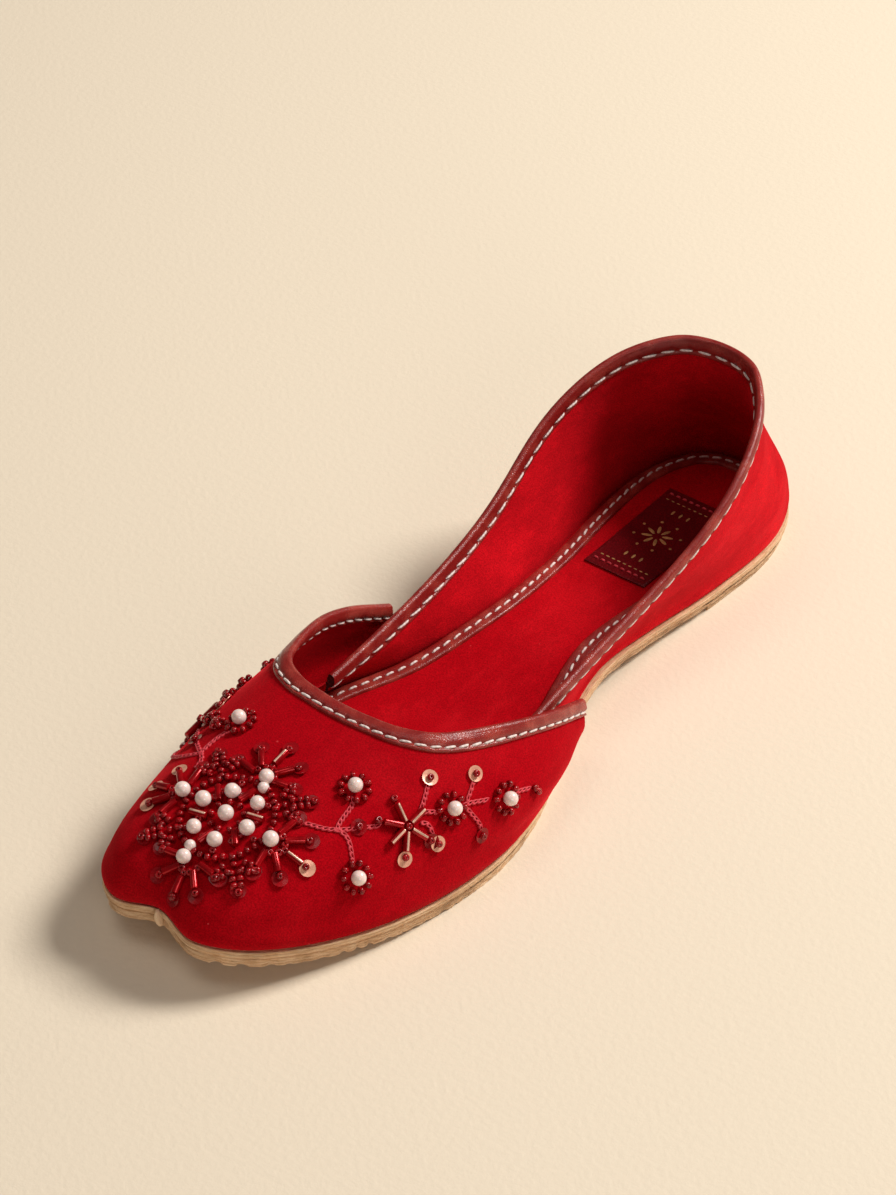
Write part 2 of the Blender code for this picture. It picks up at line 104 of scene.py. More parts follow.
# Quarter from the back of the heel to its front end inside the vamp
QUARTER = (
    # foot, along, across, height, lift, bulge, reach, drop
    (1.000, 0.925, 0.000, 1.000, 0.30, 0.065, -0.08, 0.42),
    (0.965, 0.918, 0.365, 1.000, 0.30, 0.070, -0.06, 0.42),
    (0.925, 0.896, 0.660, 0.992, 0.32, 0.080, -0.04, 0.42),
    (0.870, 0.840, 1.050, 0.930, 0.34, 0.090, 0.00, 0.40),
    (0.785, 0.750, 1.260, 0.762, 0.38, 0.075, 0.00, 0.38),
    (0.690, 0.652, 1.155, 0.560, 0.40, 0.050, 0.00, 0.36),
    (0.590, 0.540, 1.090, 0.445, 0.40, 0.020, 0.00, 0.34),
    (0.480, 0.436, 1.095, 0.372, 0.40, 0.000, 0.00, 0.33),
    (0.385, 0.352, 1.115, 0.325, 0.40, 0.000, 0.00, 0.33),
)

# Chain-stitched stems on the vamp; round runs to its corner (negative on the inner side) and level
# up to the throat
STEMS = (
    # first, second, third and last place: round, level
    ((0.190, 0.605), (0.230, 0.585), (0.265, 0.570), (0.355, 0.550)),
    ((0.265, 0.570), (0.266, 0.620), (0.272, 0.660), (0.266, 0.700)),
    ((0.265, 0.570), (0.290, 0.535), (0.308, 0.480), (0.325, 0.385)),
    ((0.425, 0.530), (0.442, 0.545), (0.458, 0.530), (0.474, 0.518)),
    ((0.432, 0.545), (0.440, 0.610), (0.444, 0.660), (0.448, 0.700)),
    ((0.440, 0.490), (0.456, 0.450), (0.462, 0.400), (0.468, 0.370)),
    ((0.516, 0.500), (0.530, 0.500), (0.545, 0.490), (0.558, 0.480)),
    ((0.524, 0.520), (0.532, 0.570), (0.538, 0.610), (0.543, 0.645)),
    ((0.524, 0.470), (0.534, 0.400), (0.540, 0.350), (0.541, 0.300)),
    ((0.600, 0.450), (0.612, 0.440), (0.622, 0.430), (0.632, 0.415)),
    ((-0.185, 0.600), (-0.205, 0.600), (-0.245, 0.600), (-0.390, 0.480)),
    ((-0.245, 0.600), (-0.262, 0.640), (-0.268, 0.680), (-0.265, 0.712)),
    ((-0.245, 0.600), (-0.300, 0.480), (-0.370, 0.340), (-0.425, 0.245)),
    ((-0.470, 0.390), (-0.490, 0.370), (-0.510, 0.340), (-0.527, 0.310)),
    ((-0.562, 0.290), (-0.580, 0.310), (-0.595, 0.330), (-0.610, 0.350)),
    ((-0.650, 0.375), (-0.662, 0.370), (-0.672, 0.360), (-0.682, 0.345)),
)

# Small spangles at the stems' ends, each held by a seed bead
SPANGLES = (
    # round, level, pale
    (0.310, 0.562, 0),
    (0.450, 0.726, 1),
    (0.470, 0.340, 1),
    (0.545, 0.670, 1),
    (0.541, 0.275, 0),
    (-0.325, 0.540, 0),
    (-0.430, 0.560, 1),
    (-0.520, 0.200, 1),
)

# Bugle flowers on the stems
BUGLE_FLOWERS = (
    # round, level, turn in degrees
    (0.410, 0.500, 0.0),
    (-0.445, 0.400, 180.0),
)


# Small clusters of seed beads on the inner side
FAR_CLUSTERS = (
    # round, level
    (-0.330, 0.640),
    (-0.385, 0.575),
    (-0.480, 0.520),
    (-0.545, 0.450),
    (-0.600, 0.440),
    (-0.655, 0.430),
)


class MojariSizes(bpy.types.PropertyGroup):
    """Sizes of the shoe and of its trimmings."""

    shoe_length: FloatProperty(name="Shoe length", description="Toe to heel on the sole",
                               default=0.255, unit="LENGTH", precision=4)
    ball_width: FloatProperty(name="Ball width", description="Widest place of the sole",
                              default=0.084, unit="LENGTH", precision=4)
    waist_width: FloatProperty(name="Waist width", description="Narrowest place of the sole",
                               default=0.041, unit="LENGTH", precision=4)
    heel_width: FloatProperty(name="Heel width", description="Width of the heel seat",
                              default=0.0496, unit="LENGTH", precision=4)
    throat_height: FloatProperty(name="Throat height", description="Top of the vamp above the floor",
                                 default=0.0412, unit="LENGTH", precision=4)
    counter_height: FloatProperty(name="Counter height", description="Top of the heel above the floor",
                                  default=0.0608, unit="LENGTH", precision=4)
    wall: FloatProperty(name="Wall", description="Velvet with its lining",
                        default=0.0018, unit="LENGTH", precision=4)
    tape: FloatProperty(name="Tape thickness", description="Leather of the bindings",
                        default=0.00055, unit="LENGTH", precision=5)
    throat_band: FloatProperty(name="Throat band", description="Depth of the throat binding",
                               default=0.0045, unit="LENGTH", precision=4)
    topline_band: FloatProperty(name="Topline band", description="Depth of the topline binding",
                                default=0.0032, unit="LENGTH", precision=4)
    insole_band: FloatProperty(name="Insole band", description="Width of the insole binding",
                               default=0.0049, unit="LENGTH", precision=4)
    throat_stitch: FloatProperty(name="Throat stitch", description="Stitch pitch on the throat",
                                 default=0.0039, unit="LENGTH", precision=4)
    topline_stitch: FloatProperty(name="Topline stitch", description="Stitch pitch on the topline",
                                  default=0.0053, unit="LENGTH", precision=4)
    insole_stitch: FloatProperty(name="Insole stitch", description="Stitch pitch on the insole",
                                 default=0.0038, unit="LENGTH", precision=4)
    pearl: FloatProperty(name="Pearl", description="Pearl diameter",
                         default=0.0044, unit="LENGTH", precision=4)
    seed: FloatProperty(name="Seed bead", description="Seed bead diameter",
                        default=0.0021, unit="LENGTH", precision=4)
    bugle: FloatProperty(name="Bugle bead", description="Bugle bead length",
                         default=0.0050, unit="LENGTH", precision=4)
    spangle: FloatProperty(name="Spangle", description="Spangle diameter",
                           default=0.0042, unit="LENGTH", precision=4)
    ring_seeds: IntProperty(name="Ring beads", description="Seed beads round the rosette", default=37)
    flower_seeds: IntProperty(name="Flower beads", description="Seed beads round a flower", default=10)


class MojariColours(bpy.types.PropertyGroup):
    """Colours of the finishes."""

    velvet: FloatVectorProperty(name="Velvet", description="Velvet pile", subtype="COLOR", size=3,
                                default=(0.375, 0.0004, 0.0048))
    velvet_light: FloatVectorProperty(name="Velvet, brushed", description="Pile brushed the other way",
                                      subtype="COLOR", size=3, default=(0.56, 0.004, 0.010))
    lining: FloatVectorProperty(name="Lining", description="Velvet of lining and insole",
                                subtype="COLOR", size=3, default=(0.42, 0.0008, 0.0052))
    suede: FloatVectorProperty(name="Quarter", description="Brushed velvet of the quarter",
                               subtype="COLOR", size=3, default=(0.46, 0.003, 0.0080))
    tape: FloatVectorProperty(name="Tape", description="Leather of the bindings", subtype="COLOR", size=3,
                              default=(0.280, 0.0120, 0.0100))
    tape_rubbed: FloatVectorProperty(name="Tape, rubbed", description="Rubbed leather", subtype="COLOR",
                                     size=3, default=(0.52, 0.085, 0.062))
    thread: FloatVectorProperty(name="Thread", description="Saddle stitches", subtype="COLOR", size=3,
                                default=(0.84, 0.72, 0.68))
    sole: FloatVectorProperty(name="Sole", description="Sole leather", subtype="COLOR", size=3,
                              default=(0.64, 0.37, 0.19))
    sole_dark: FloatVectorProperty(name="Sole, dark", description="Dark fibres of the cut edge",
                                   subtype="COLOR", size=3, default=(0.25, 0.125, 0.058))
    sole_pale: FloatVectorProperty(name="Sole, pale", description="Pale fibres and lip",
                                   subtype="COLOR", size=3, default=(0.84, 0.60, 0.38))
    pearl: FloatVectorProperty(name="Pearl", description="Pearl glaze", subtype="COLOR", size=3,
                               default=(0.89, 0.69, 0.64))
    seed: FloatVectorProperty(name="Seed bead", description="Ruby glass", subtype="COLOR", size=3,
                              default=(0.215, 0.0004, 0.0028))
    bugle: FloatVectorProperty(name="Bugle bead", description="Lined ruby glass", subtype="COLOR", size=3,
                               default=(0.30, 0.0008, 0.0040))
    gilt: FloatVectorProperty(name="Gilt bugle", description="Gilt-lined bugle", subtype="COLOR", size=3,
                              default=(0.92, 0.56, 0.42))
    spangle: FloatVectorProperty(name="Pale spangle", description="Peach spangle", subtype="COLOR", size=3,
                                 default=(0.92, 0.46, 0.32))
    spangle_red: FloatVectorProperty(name="Red spangle", description="Clear red spangle", subtype="COLOR",
                                     size=3, default=(0.24, 0.0008, 0.0040))
    stem: FloatVectorProperty(name="Stem", description="Embroidery thread", subtype="COLOR", size=3,
                              default=(0.68, 0.036, 0.058))
    label: FloatVectorProperty(name="Label", description="Label leather", subtype="COLOR", size=3,
                               default=(0.150, 0.0050, 0.0080))
    foil: FloatVectorProperty(name="Foil", description="Gold foil of the label", subtype="COLOR", size=3,
                              default=(0.66, 0.40, 0.15))
    floor: FloatVectorProperty(name="Floor", description="Floor paper", subtype="COLOR", size=3,
                               default=(0.84, 0.735, 0.590))


def sizes():
    """The sizes that the scene holds."""
    return bpy.context.scene.mojari_sizes


def colours():
    """The colours that the scene holds."""
    return bpy.context.scene.mojari_colours


# Places of the sole and of the upper, as the shoe's maker would mark them
TOE_LEAN = 0.0078
TOE_RISE = 0.0082
TOE_PEAK = 0.0026
TOE_NOTCH = 0.0061
ARCH_RISE = 0.0022
OUTSOLE_THICKNESS = 0.0027
OUTSOLE_REAR_THICKNESS = 0.0014
MIDSOLE_THICKNESS = 0.0023
LIFT_THICKNESS = 0.0017
LIFT_LENGTH = 0.056
SOLE_EDGE_STEP = 0.0008
LIFT_INSET = 0.0012
FIT_GAP = 0.0003
UPPER_INSET = 0.0011
QUARTER_TUCK = 0.0011
FOOT_STEP = 0.0008
INSOLE_THICKNESS = 0.0020
INSOLE_PADDING = 0.0022
INSOLE_CLEARANCE = 0.0008
LABEL_WIDTH = 0.0205
LABEL_LENGTH = 0.0430
LABEL_CENTRE = 0.20604


def smoothstep(low, high, value):
    """Ease from 0 to 1 as value goes from low to high."""
    share = np.clip((np.asarray(value, float) - low) / (high - low), 0.0, 1.0)
    return share * share * (3.0 - 2.0 * share)


def outline_rows():
    """Turn the outline table into lengths along and across."""
    size = sizes()
    table = np.asarray(OUTLINE, float)
    half = 0.5 * np.array([size.ball_width, size.waist_width, size.heel_width])
    return np.stack([table[:, 0] * size.shoe_length, table[:, 1:] @ half], axis=1)


def trace(rows, shares):
    """Read a smooth curve through the rows, mirrored across the shoe past either end."""
    mirror = np.array([1.0, -1.0])
    knots = np.concatenate([[0.0], np.cumsum(np.linalg.norm(np.diff(rows, axis=0), axis=1))])
    knots = knots / knots[-1]
    ghost = np.vstack([rows[1] * mirror, rows, rows[-2] * mirror])
    before = np.concatenate([[-knots[1]], knots, [2.0 - knots[-2]]])
    slopes = (ghost[2:] - ghost[:-2]) / (before[2:] - before[:-2])[:, None]
    shares = np.clip(np.asarray(shares, float), 0.0, 1.0)
    index = np.clip(np.searchsorted(knots, shares, side="right") - 1, 0, len(rows) - 2)
    span = (knots[index + 1] - knots[index])[..., None]
    t = (shares - knots[index])[..., None] / span
    first = (2 * t ** 3 - 3 * t ** 2 + 1) * rows[index] + (t ** 3 - 2 * t ** 2 + t) * span * slopes[index]
    second = (3 * t ** 2 - 2 * t ** 3) * rows[index + 1] + (t ** 3 - t ** 2) * span * slopes[index + 1]
    return first + second


def outline(shares, inset):
    """Points on the sole's outline, inset inwards, with the outward direction."""
    shares = np.asarray(shares, float)
    side = np.where(shares < 0, -1.0, 1.0)
    rows = outline_rows()
    size = np.abs(shares)
    small = 0.002
    here = trace(rows, size)
    tangent = trace(rows, np.minimum(size + small, 1.0)) - trace(rows, np.maximum(size - small, 0.0))
    tangent /= np.linalg.norm(tangent, axis=-1, keepdims=True)
    at_end = (size < small) | (size > 1.0 - small)
    square = np.stack([0 * shares, np.where(size < 0.5, 1.0, -1.0)], -1)
    tangent = np.where(at_end[..., None], square, tangent)
    outward = np.stack([-tangent[..., 1], tangent[..., 0]], axis=-1)
    here = here - outward * np.asarray(inset, float)[..., None]
    here[..., 1] *= side
    outward[..., 1] *= side
    return here, outward


def shoe_shift():
    """Where the shoe's own zero lies in the frame, read from the label's place."""
    low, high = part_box("label")
    return np.array([(low[0] + high[0]) / 2, (low[1] + high[1]) / 2 - LABEL_CENTRE, 0.0])


SHIFT = shoe_shift()


def world(along, across, height):
    """Place on the shoe to metres in the frame."""
    lean = np.clip(1.0 - along / (0.42 * sizes().shoe_length), 0.0, None) ** 2
    return np.stack([across - TOE_LEAN * lean, along, height], axis=-1) + SHIFT


def sole_bottom(along, across):
    """Height of the outsole's underside."""
    size = sizes()
    share = along / size.shoe_length
    spring = TOE_RISE * np.clip(1.0 - share / 0.25, 0.0, None) ** 2
    peak = TOE_PEAK * np.exp(-(across / (0.09 * size.ball_width)) ** 2)
    peak = peak * np.exp(-np.clip(share, 0, None) / 0.045)
    seat = (LIFT_THICKNESS + FIT_GAP) * smoothstep(0.42, 0.62, share)
    arch = ARCH_RISE * smoothstep(0.42, 0.58, share) * (1.0 - smoothstep(0.58, 0.77, share))
    return spring + peak + seat + arch


def outsole_thickness(along):
    """Outsole thickness, thinner behind the ball."""
    rear = smoothstep(0.40, 0.56, along / sizes().shoe_length)
    return OUTSOLE_THICKNESS + (OUTSOLE_REAR_THICKNESS - OUTSOLE_THICKNESS) * rear


def midsole_bottom(along, across):
    """Height of the underside of the sole's upper layer."""
    return sole_bottom(along, across) + outsole_thickness(along) + FIT_GAP


def sole_top(along, across):
    """Height of the top of the sole."""
    return midsole_bottom(along, across) + MIDSOLE_THICKNESS


def hermite(knots, values, shares, odd):
    """Smooth curve through values; the first end mirrors with the given parity."""
    ghost = -values[1] if odd else values[1]
    extended = np.concatenate([[ghost], values, [2 * values[-1] - values[-2]]])
    step = knots[1] - knots[0]
    slopes = (extended[2:] - extended[:-2]) / (2 * step)
    index = np.clip((shares / step).astype(int), 0, len(values) - 2)
    t = shares / step - index
    first = (2 * t ** 3 - 3 * t ** 2 + 1) * values[index] + (t ** 3 - 2 * t ** 2 + t) * step * slopes[index]
    second = (3 * t ** 2 - 2 * t ** 3) * values[index + 1] + (t ** 3 - t ** 2) * step * slopes[index + 1]
    return first + second


def profile(table, lengths, shares, levels, inset, even=()):
    """Points on a strip of the upper; levels below 0 go down to the sole and tuck under.

    The free edge is evened out by the given reaches and weights.
    """
    table = np.asarray(table, float)
    shares = np.asarray(shares, float)
    levels = np.asarray(levels, float)
    side = np.where(shares < 0, -1.0, 1.0)
    knots = np.linspace(0.0, 1.0, len(table))
    values = np.stack([hermite(knots, table[:, k], np.abs(shares), k == 2) for k in range(8)], -1)
    for reach, weight in even:
        for way in (-reach, reach):
            beside = np.clip(shares + way, -1.0, 1.0)
            for k in (1, 2, 3):
                other = hermite(knots, table[:, k], np.abs(beside), k == 2)
                if k == 2:
                    other = other * np.sign(beside) * side
                values[..., k] += weight * other
    total = 1.0 + 2.0 * sum(weight for _, weight in even)
    values[..., 1:4] /= total
    plan, outward = outline(values[..., 0] * side, inset)
    foot_height = sole_top(plan[..., 0], plan[..., 1]) + FIT_GAP
    start = np.stack([plan[..., 0], plan[..., 1], foot_height + FOOT_STEP], -1)
    edge = np.stack([values[..., 1] * lengths[0], values[..., 2] * lengths[1] * side,
                     values[..., 3] * lengths[2]], -1)
    rise = edge[..., 2] - foot_height
    one = start.copy()
    one[..., 2] += values[..., 4] * rise
    one[..., :2] += outward * (values[..., 5] * sizes().ball_width / 2)[..., None]
    two = edge.copy()
    two[..., :2] += (plan - edge[..., :2]) * values[..., 6:7]
    two[..., 2] -= values[..., 7] * rise
    t = np.clip(levels, 0.0, None)[..., None]
    point = (1 - t) ** 3 * start + 3 * (1 - t) ** 2 * t * one + 3 * (1 - t) * t ** 2 * two + t ** 3 * edge
    under = np.clip(-levels, 0.0, 1.0)
    point[..., 2] -= (FOOT_STEP + FIT_GAP) * under
    point[..., :2] -= outward * (0.0010 * under ** 2)[..., None]
    return world(point[..., 0], point[..., 1], point[..., 2])


def vamp_surface(shares, levels):
    """Outer face of the vamp: shares -1 to 1 round the toe, levels 0 to 1 up to the throat."""
    size = sizes()
    lengths = (size.shoe_length, size.ball_width / 2, size.throat_height)
    return profile(VAMP, lengths, shares, levels, UPPER_INSET + 0 * np.asarray(shares, float))


def quarter_surface(shares, levels):
    """Outer face of the quarter: shares -1 to 1 round the heel, tucked inside the vamp in front."""
    size = sizes()
    shares = np.asarray(shares, float)
    tuck = QUARTER_TUCK * smoothstep(0.66, 0.90, np.abs(shares))
    lengths = (size.shoe_length, size.heel_width / 2, size.counter_height)
    return profile(QUARTER, lengths, shares, levels, UPPER_INSET + tuck, ((0.03, 0.8), (0.06, 0.5)))


def surface_frame(surface, shares, levels):
    """Points, outward normals and directions round and up on a strip's outer face."""
    shares = np.asarray(shares, float)
    levels = np.asarray(levels, float)
    small = 0.004
    here = surface(shares, levels)
    up = surface(shares, np.clip(levels + small, small, 1.0)) - surface(shares, np.clip(levels - small, 0.0, 1.0))
    after = surface(np.clip(shares + small, -1, 1), levels)
    onward = after - surface(np.clip(shares - small, -1, 1), levels)
    up /= np.linalg.norm(up, axis=-1, keepdims=True)
    onward /= np.linalg.norm(onward, axis=-1, keepdims=True)
    normal = np.cross(onward, up)
    normal /= np.linalg.norm(normal, axis=-1, keepdims=True)
    zero = 0 * shares
    outside = here - world(0.45 * sizes().shoe_length + zero, zero, 0.012 + zero)
    normal *= np.sign((normal * outside).sum(-1, keepdims=True))
    return here, normal, onward, up


def levels_at_depth(surface, shares, depths):
    """Levels at each share whose distance down the profile from the free edge is each depth."""
    fine = np.linspace(0.0, 1.0, 121)
    grid_shares = np.repeat(shares, len(fine))
    points = surface(grid_shares, np.tile(fine, len(shares))).reshape(len(shares), len(fine), 3)
    steps = np.linalg.norm(np.diff(points, axis=1), axis=2)
    found = []
    for row in steps:
        run = np.concatenate([[0.0], np.cumsum(row)])
        found.append(np.interp(run[-1] - np.asarray(depths), run, fine))
    return np.array(found)


# Node groups and materials


def new_group(name, inputs, outputs):
    """A shader node group with named sockets; returns the tree and its two ends."""
    tree = bpy.data.node_groups.new(name, "ShaderNodeTree")
    for title, kind, default in inputs:
        socket = tree.interface.new_socket(name=title, in_out="INPUT", socket_type=kind)
        if default is not None:
            socket.default_value = default
    for title, kind in outputs:
        tree.interface.new_socket(name=title, in_out="OUTPUT", socket_type=kind)
    return tree, tree.nodes.new("NodeGroupInput"), tree.nodes.new("NodeGroupOutput")


def node(tree, kind, **settings):
    """A node with its settings and the defaults of its inputs."""
    made = tree.nodes.new(kind)
    for key, value in settings.items():
        if key.startswith("in_"):
            made.inputs[key[3:].replace("_", " ")].default_value = value
        else:
            setattr(made, key, value)
    return made


def mix_colour(tree, factor, first, second, blend="MIX"):
    """Mix two colours; each of the three is a socket or a plain value."""
    made = tree.nodes.new("ShaderNodeMix")
    made.data_type = "RGBA"
    made.blend_type = blend
    for index, value in ((0, factor), (6, first), (7, second)):
        if isinstance(value, bpy.types.NodeSocket):
            tree.links.new(value, made.inputs[index])
        else:
            made.inputs[index].default_value = value
    return made.outputs[2]


def ranged(tree, value, low, high, to_low=0.0, to_high=1.0):
    """Map a value from one range to another, clamped."""
    made = node(tree, "ShaderNodeMapRange", interpolation_type="SMOOTHSTEP")
    tree.links.new(value, made.inputs["Value"])
    made.inputs["From Min"].default_value = low
    made.inputs["From Max"].default_value = high
    made.inputs["To Min"].default_value = to_low
    made.inputs["To Max"].default_value = to_high
    return made.outputs["Result"]


def math_node(tree, operation, first, second):
    """One sum on two sockets or numbers."""
    made = node(tree, "ShaderNodeMath", operation=operation)
    for index, value in enumerate((first, second)):
        if isinstance(value, bpy.types.NodeSocket):
            tree.links.new(value, made.inputs[index])
        else:
            made.inputs[index].default_value = value
    return made.outputs[0]


def scaled_noise(tree, vector, scale, detail=3.0, stretch=None, rough=0.55):
    """Noise read at a vector, stretched if asked."""
    if stretch is not None:
        mapping = node(tree, "ShaderNodeMapping")
        mapping.inputs["Scale"].default_value = stretch
        tree.links.new(vector, mapping.inputs["Vector"])
        vector = mapping.outputs["Vector"]
    made = node(tree, "ShaderNodeTexNoise", in_Scale=scale, in_Detail=detail, in_Roughness=rough)
    tree.links.new(vector, made.inputs["Vector"])
    return made.outputs["Fac"]


def nap_group():
    """Velvet nap: brushed patches, fine pile and a few specks of lint."""
    if "velvet_nap" in bpy.data.node_groups:
        return bpy.data.node_groups["velvet_nap"]
    tree, start, end = new_group(
        "velvet_nap",
        [("Colour", "NodeSocketColor", None), ("Brushed", "NodeSocketColor", None),
         ("Mottle", "NodeSocketFloat", 0.6), ("Lint", "NodeSocketFloat", 0.5)],
        [("Colour", "NodeSocketColor"), ("Roughness", "NodeSocketFloat"), ("Height", "NodeSocketFloat")])
    place = node(tree, "ShaderNodeTexCoord").outputs["Object"]
    broad = ranged(tree, scaled_noise(tree, place, 55.0, 4.0, (1.0, 0.6, 1.0)), 0.42, 0.68)
    streak = ranged(tree, scaled_noise(tree, place, 210.0, 4.0, (1.0, 0.45, 1.0), 0.7), 0.40, 0.72)
    fine = scaled_noise(tree, place, 2600.0, 2.0)
    patches = math_node(tree, "ADD", math_node(tree, "MULTIPLY", broad, 0.55),
                        math_node(tree, "MULTIPLY", streak, 0.45))
    patches = math_node(tree, "MULTIPLY", patches, start.outputs["Mottle"])
    base = mix_colour(tree, patches, start.outputs["Colour"], start.outputs["Brushed"])
    grain = ranged(tree, fine, 0.30, 0.70, 0.74, 1.22)
    shaded = node(tree, "ShaderNodeCombineColor")
    for channel in ("Red", "Green", "Blue"):
        tree.links.new(grain, shaded.inputs[channel])
    base = mix_colour(tree, 1.0, base, shaded.outputs[0], "MULTIPLY")
    cells = node(tree, "ShaderNodeTexVoronoi", in_Scale=170.0)
    tree.links.new(place, cells.inputs["Vector"])
    speck = ranged(tree, cells.outputs["Distance"], 0.035, 0.06, 1.0, 0.0)
    rare = ranged(tree, scaled_noise(tree, place, 120.0, 1.0), 0.52, 0.60)
    speck = math_node(tree, "MULTIPLY", math_node(tree, "MULTIPLY", speck, rare), start.outputs["Lint"])
    base = mix_colour(tree, speck, base, (0.72, 0.10, 0.10, 1.0))
    tree.links.new(base, end.inputs["Colour"])
    tree.links.new(ranged(tree, broad, 0.0, 1.0, 0.92, 0.74), end.inputs["Roughness"])
    lift = math_node(tree, "ADD", math_node(tree, "MULTIPLY", fine, 0.5), math_node(tree, "MULTIPLY", streak, 0.9))
    tree.links.new(lift, end.inputs["Height"])
    return tree


def grain_group():
    """Leather grain: small cells, creases and rubbed places."""
    if "leather_grain" in bpy.data.node_groups:
        return bpy.data.node_groups["leather_grain"]
    tree, start, end = new_group(
        "leather_grain",
        [("Colour", "NodeSocketColor", None), ("Rubbed", "NodeSocketColor", None),
         ("Wear", "NodeSocketFloat", 0.5), ("Cells", "NodeSocketFloat", 1500.0)],
        [("Colour", "NodeSocketColor"), ("Roughness", "NodeSocketFloat"), ("Height", "NodeSocketFloat")])
    place = node(tree, "ShaderNodeTexCoord").outputs["Object"]
    cells = node(tree, "ShaderNodeTexVoronoi", feature="DISTANCE_TO_EDGE")
    tree.links.new(start.outputs["Cells"], cells.inputs["Scale"])
    tree.links.new(place, cells.inputs["Vector"])
    pebble = ranged(tree, cells.outputs["Distance"], 0.0, 0.25)
    patch = ranged(tree, scaled_noise(tree, place, 160.0, 4.0), 0.40, 0.70)
    wear = math_node(tree, "MULTIPLY", patch, start.outputs["Wear"])
    base = mix_colour(tree, wear, start.outputs["Colour"], start.outputs["Rubbed"])
    dark = ranged(tree, pebble, 0.0, 1.0, 0.72, 1.05)
    shaded = node(tree, "ShaderNodeCombineColor")
    for channel in ("Red", "Green", "Blue"):
        tree.links.new(dark, shaded.inputs[channel])
    tree.links.new(mix_colour(tree, 1.0, base, shaded.outputs[0], "MULTIPLY"), end.inputs["Colour"])
    tree.links.new(ranged(tree, patch, 0.0, 1.0, 0.33, 0.22), end.inputs["Roughness"])
    lift = math_node(tree, "ADD", math_node(tree, "MULTIPLY", pebble, 0.6),
                     math_node(tree, "MULTIPLY", scaled_noise(tree, place, 900.0, 3.0), 0.5))
    tree.links.new(lift, end.inputs["Height"])
    return tree


def cut_edge_group():
    """Cut sole leather: layered streaks along the edge, short fibres and dark soiling."""
    if "cut_leather" in bpy.data.node_groups:
        return bpy.data.node_groups["cut_leather"]
    tree, start, end = new_group(
        "cut_leather",
        [("Colour", "NodeSocketColor", None), ("Dark", "NodeSocketColor", None),
         ("Pale", "NodeSocketColor", None), ("Soil", "NodeSocketFloat", 0.5)],
        [("Colour", "NodeSocketColor"), ("Roughness", "NodeSocketFloat"), ("Height", "NodeSocketFloat")])
    coords = node(tree, "ShaderNodeTexCoord")
    edge = coords.outputs["UV"]
    place = coords.outputs["Object"]
    layers = scaled_noise(tree, edge, 1.0, 4.0, (260.0, 1900.0, 1.0), 0.75)
    fibres = scaled_noise(tree, place, 2600.0, 3.0, None, 0.8)
    blotch = scaled_noise(tree, place, 90.0, 4.0)
    base = mix_colour(tree, ranged(tree, layers, 0.38, 0.64), start.outputs["Colour"], start.outputs["Pale"])
    base = mix_colour(tree, ranged(tree, layers, 0.46, 0.32, 0.0, 0.32), base, start.outputs["Dark"])
    base = mix_colour(tree, ranged(tree, fibres, 0.55, 0.78, 0.0, 0.45), base, start.outputs["Dark"])
    soil = math_node(tree, "MULTIPLY", ranged(tree, blotch, 0.48, 0.72), start.outputs["Soil"])
    base = mix_colour(tree, soil, base, start.outputs["Dark"])
    tree.links.new(base, end.inputs["Colour"])
    tree.links.new(ranged(tree, blotch, 0.2, 0.8, 0.62, 0.85), end.inputs["Roughness"])
    lift = math_node(tree, "ADD", math_node(tree, "MULTIPLY", layers, 0.8), math_node(tree, "MULTIPLY", fibres, 0.5))
    tree.links.new(lift, end.inputs["Height"])
    return tree


def shaded_material(name, group, values, bump, distance, **sockets):
    """A material whose colour, roughness and height come from one shared group."""
    if name in bpy.data.materials:
        return bpy.data.materials[name]
    made = bpy.data.materials.new(name)
    made.use_nodes = True
    tree = made.node_tree
    shader = tree.nodes["Principled BSDF"]
    effect = node(tree, "ShaderNodeGroup", node_tree=group)
    for key, value in values.items():
        effect.inputs[key].default_value = value
    tree.links.new(effect.outputs["Colour"], shader.inputs["Base Color"])
    tree.links.new(effect.outputs["Roughness"], shader.inputs["Roughness"])
    relief = node(tree, "ShaderNodeBump", in_Strength=bump, in_Distance=distance)
    tree.links.new(effect.outputs["Height"], relief.inputs["Height"])
    tree.links.new(relief.outputs["Normal"], shader.inputs["Normal"])
    set_sockets(shader, sockets)
    made.diffuse_color = (*list(values["Colour"])[:3], 1.0)
    return made


def set_sockets(shader, sockets):
    """Set plain values on the shader's own sockets."""
    for key, value in sockets.items():
        shader.inputs[key.replace("_", " ")].default_value = value


def rgba(colour, gain=1.0):
    """A colour property as four numbers."""
    return (colour[0] * gain, colour[1] * gain, colour[2] * gain, 1.0)


def velvet_material(name, colour, brushed, mottle, lint, sheen=0.55):
    """Velvet with its pile."""
    return shaded_material(name, nap_group(),
                           {"Colour": rgba(colour), "Brushed": rgba(brushed), "Mottle": mottle, "Lint": lint},
                           0.38, 0.00026, Sheen_Weight=sheen, Sheen_Roughness=0.42,
                           Sheen_Tint=(1.0, 0.035, 0.050, 1.0), Specular_IOR_Level=0.04)


def leather_material(name, colour, rubbed, wear, cells=2300.0, coat=0.0):
    """Dyed leather with a soft gloss."""
    return shaded_material(name, grain_group(),
                           {"Colour": rgba(colour), "Rubbed": rgba(rubbed), "Wear": wear, "Cells": cells},
                           0.28, 0.00022, Coat_Weight=coat, Coat_Roughness=0.30, Specular_IOR_Level=0.50)


def sole_material(name, colour, soil):
    """Sole leather with its cut edge."""
    tone = colours()
    return shaded_material(name, cut_edge_group(),
                           {"Colour": rgba(colour), "Dark": rgba(tone.sole_dark),
                            "Pale": rgba(tone.sole_pale), "Soil": soil},
                           0.70, 0.00045, Specular_IOR_Level=0.3)


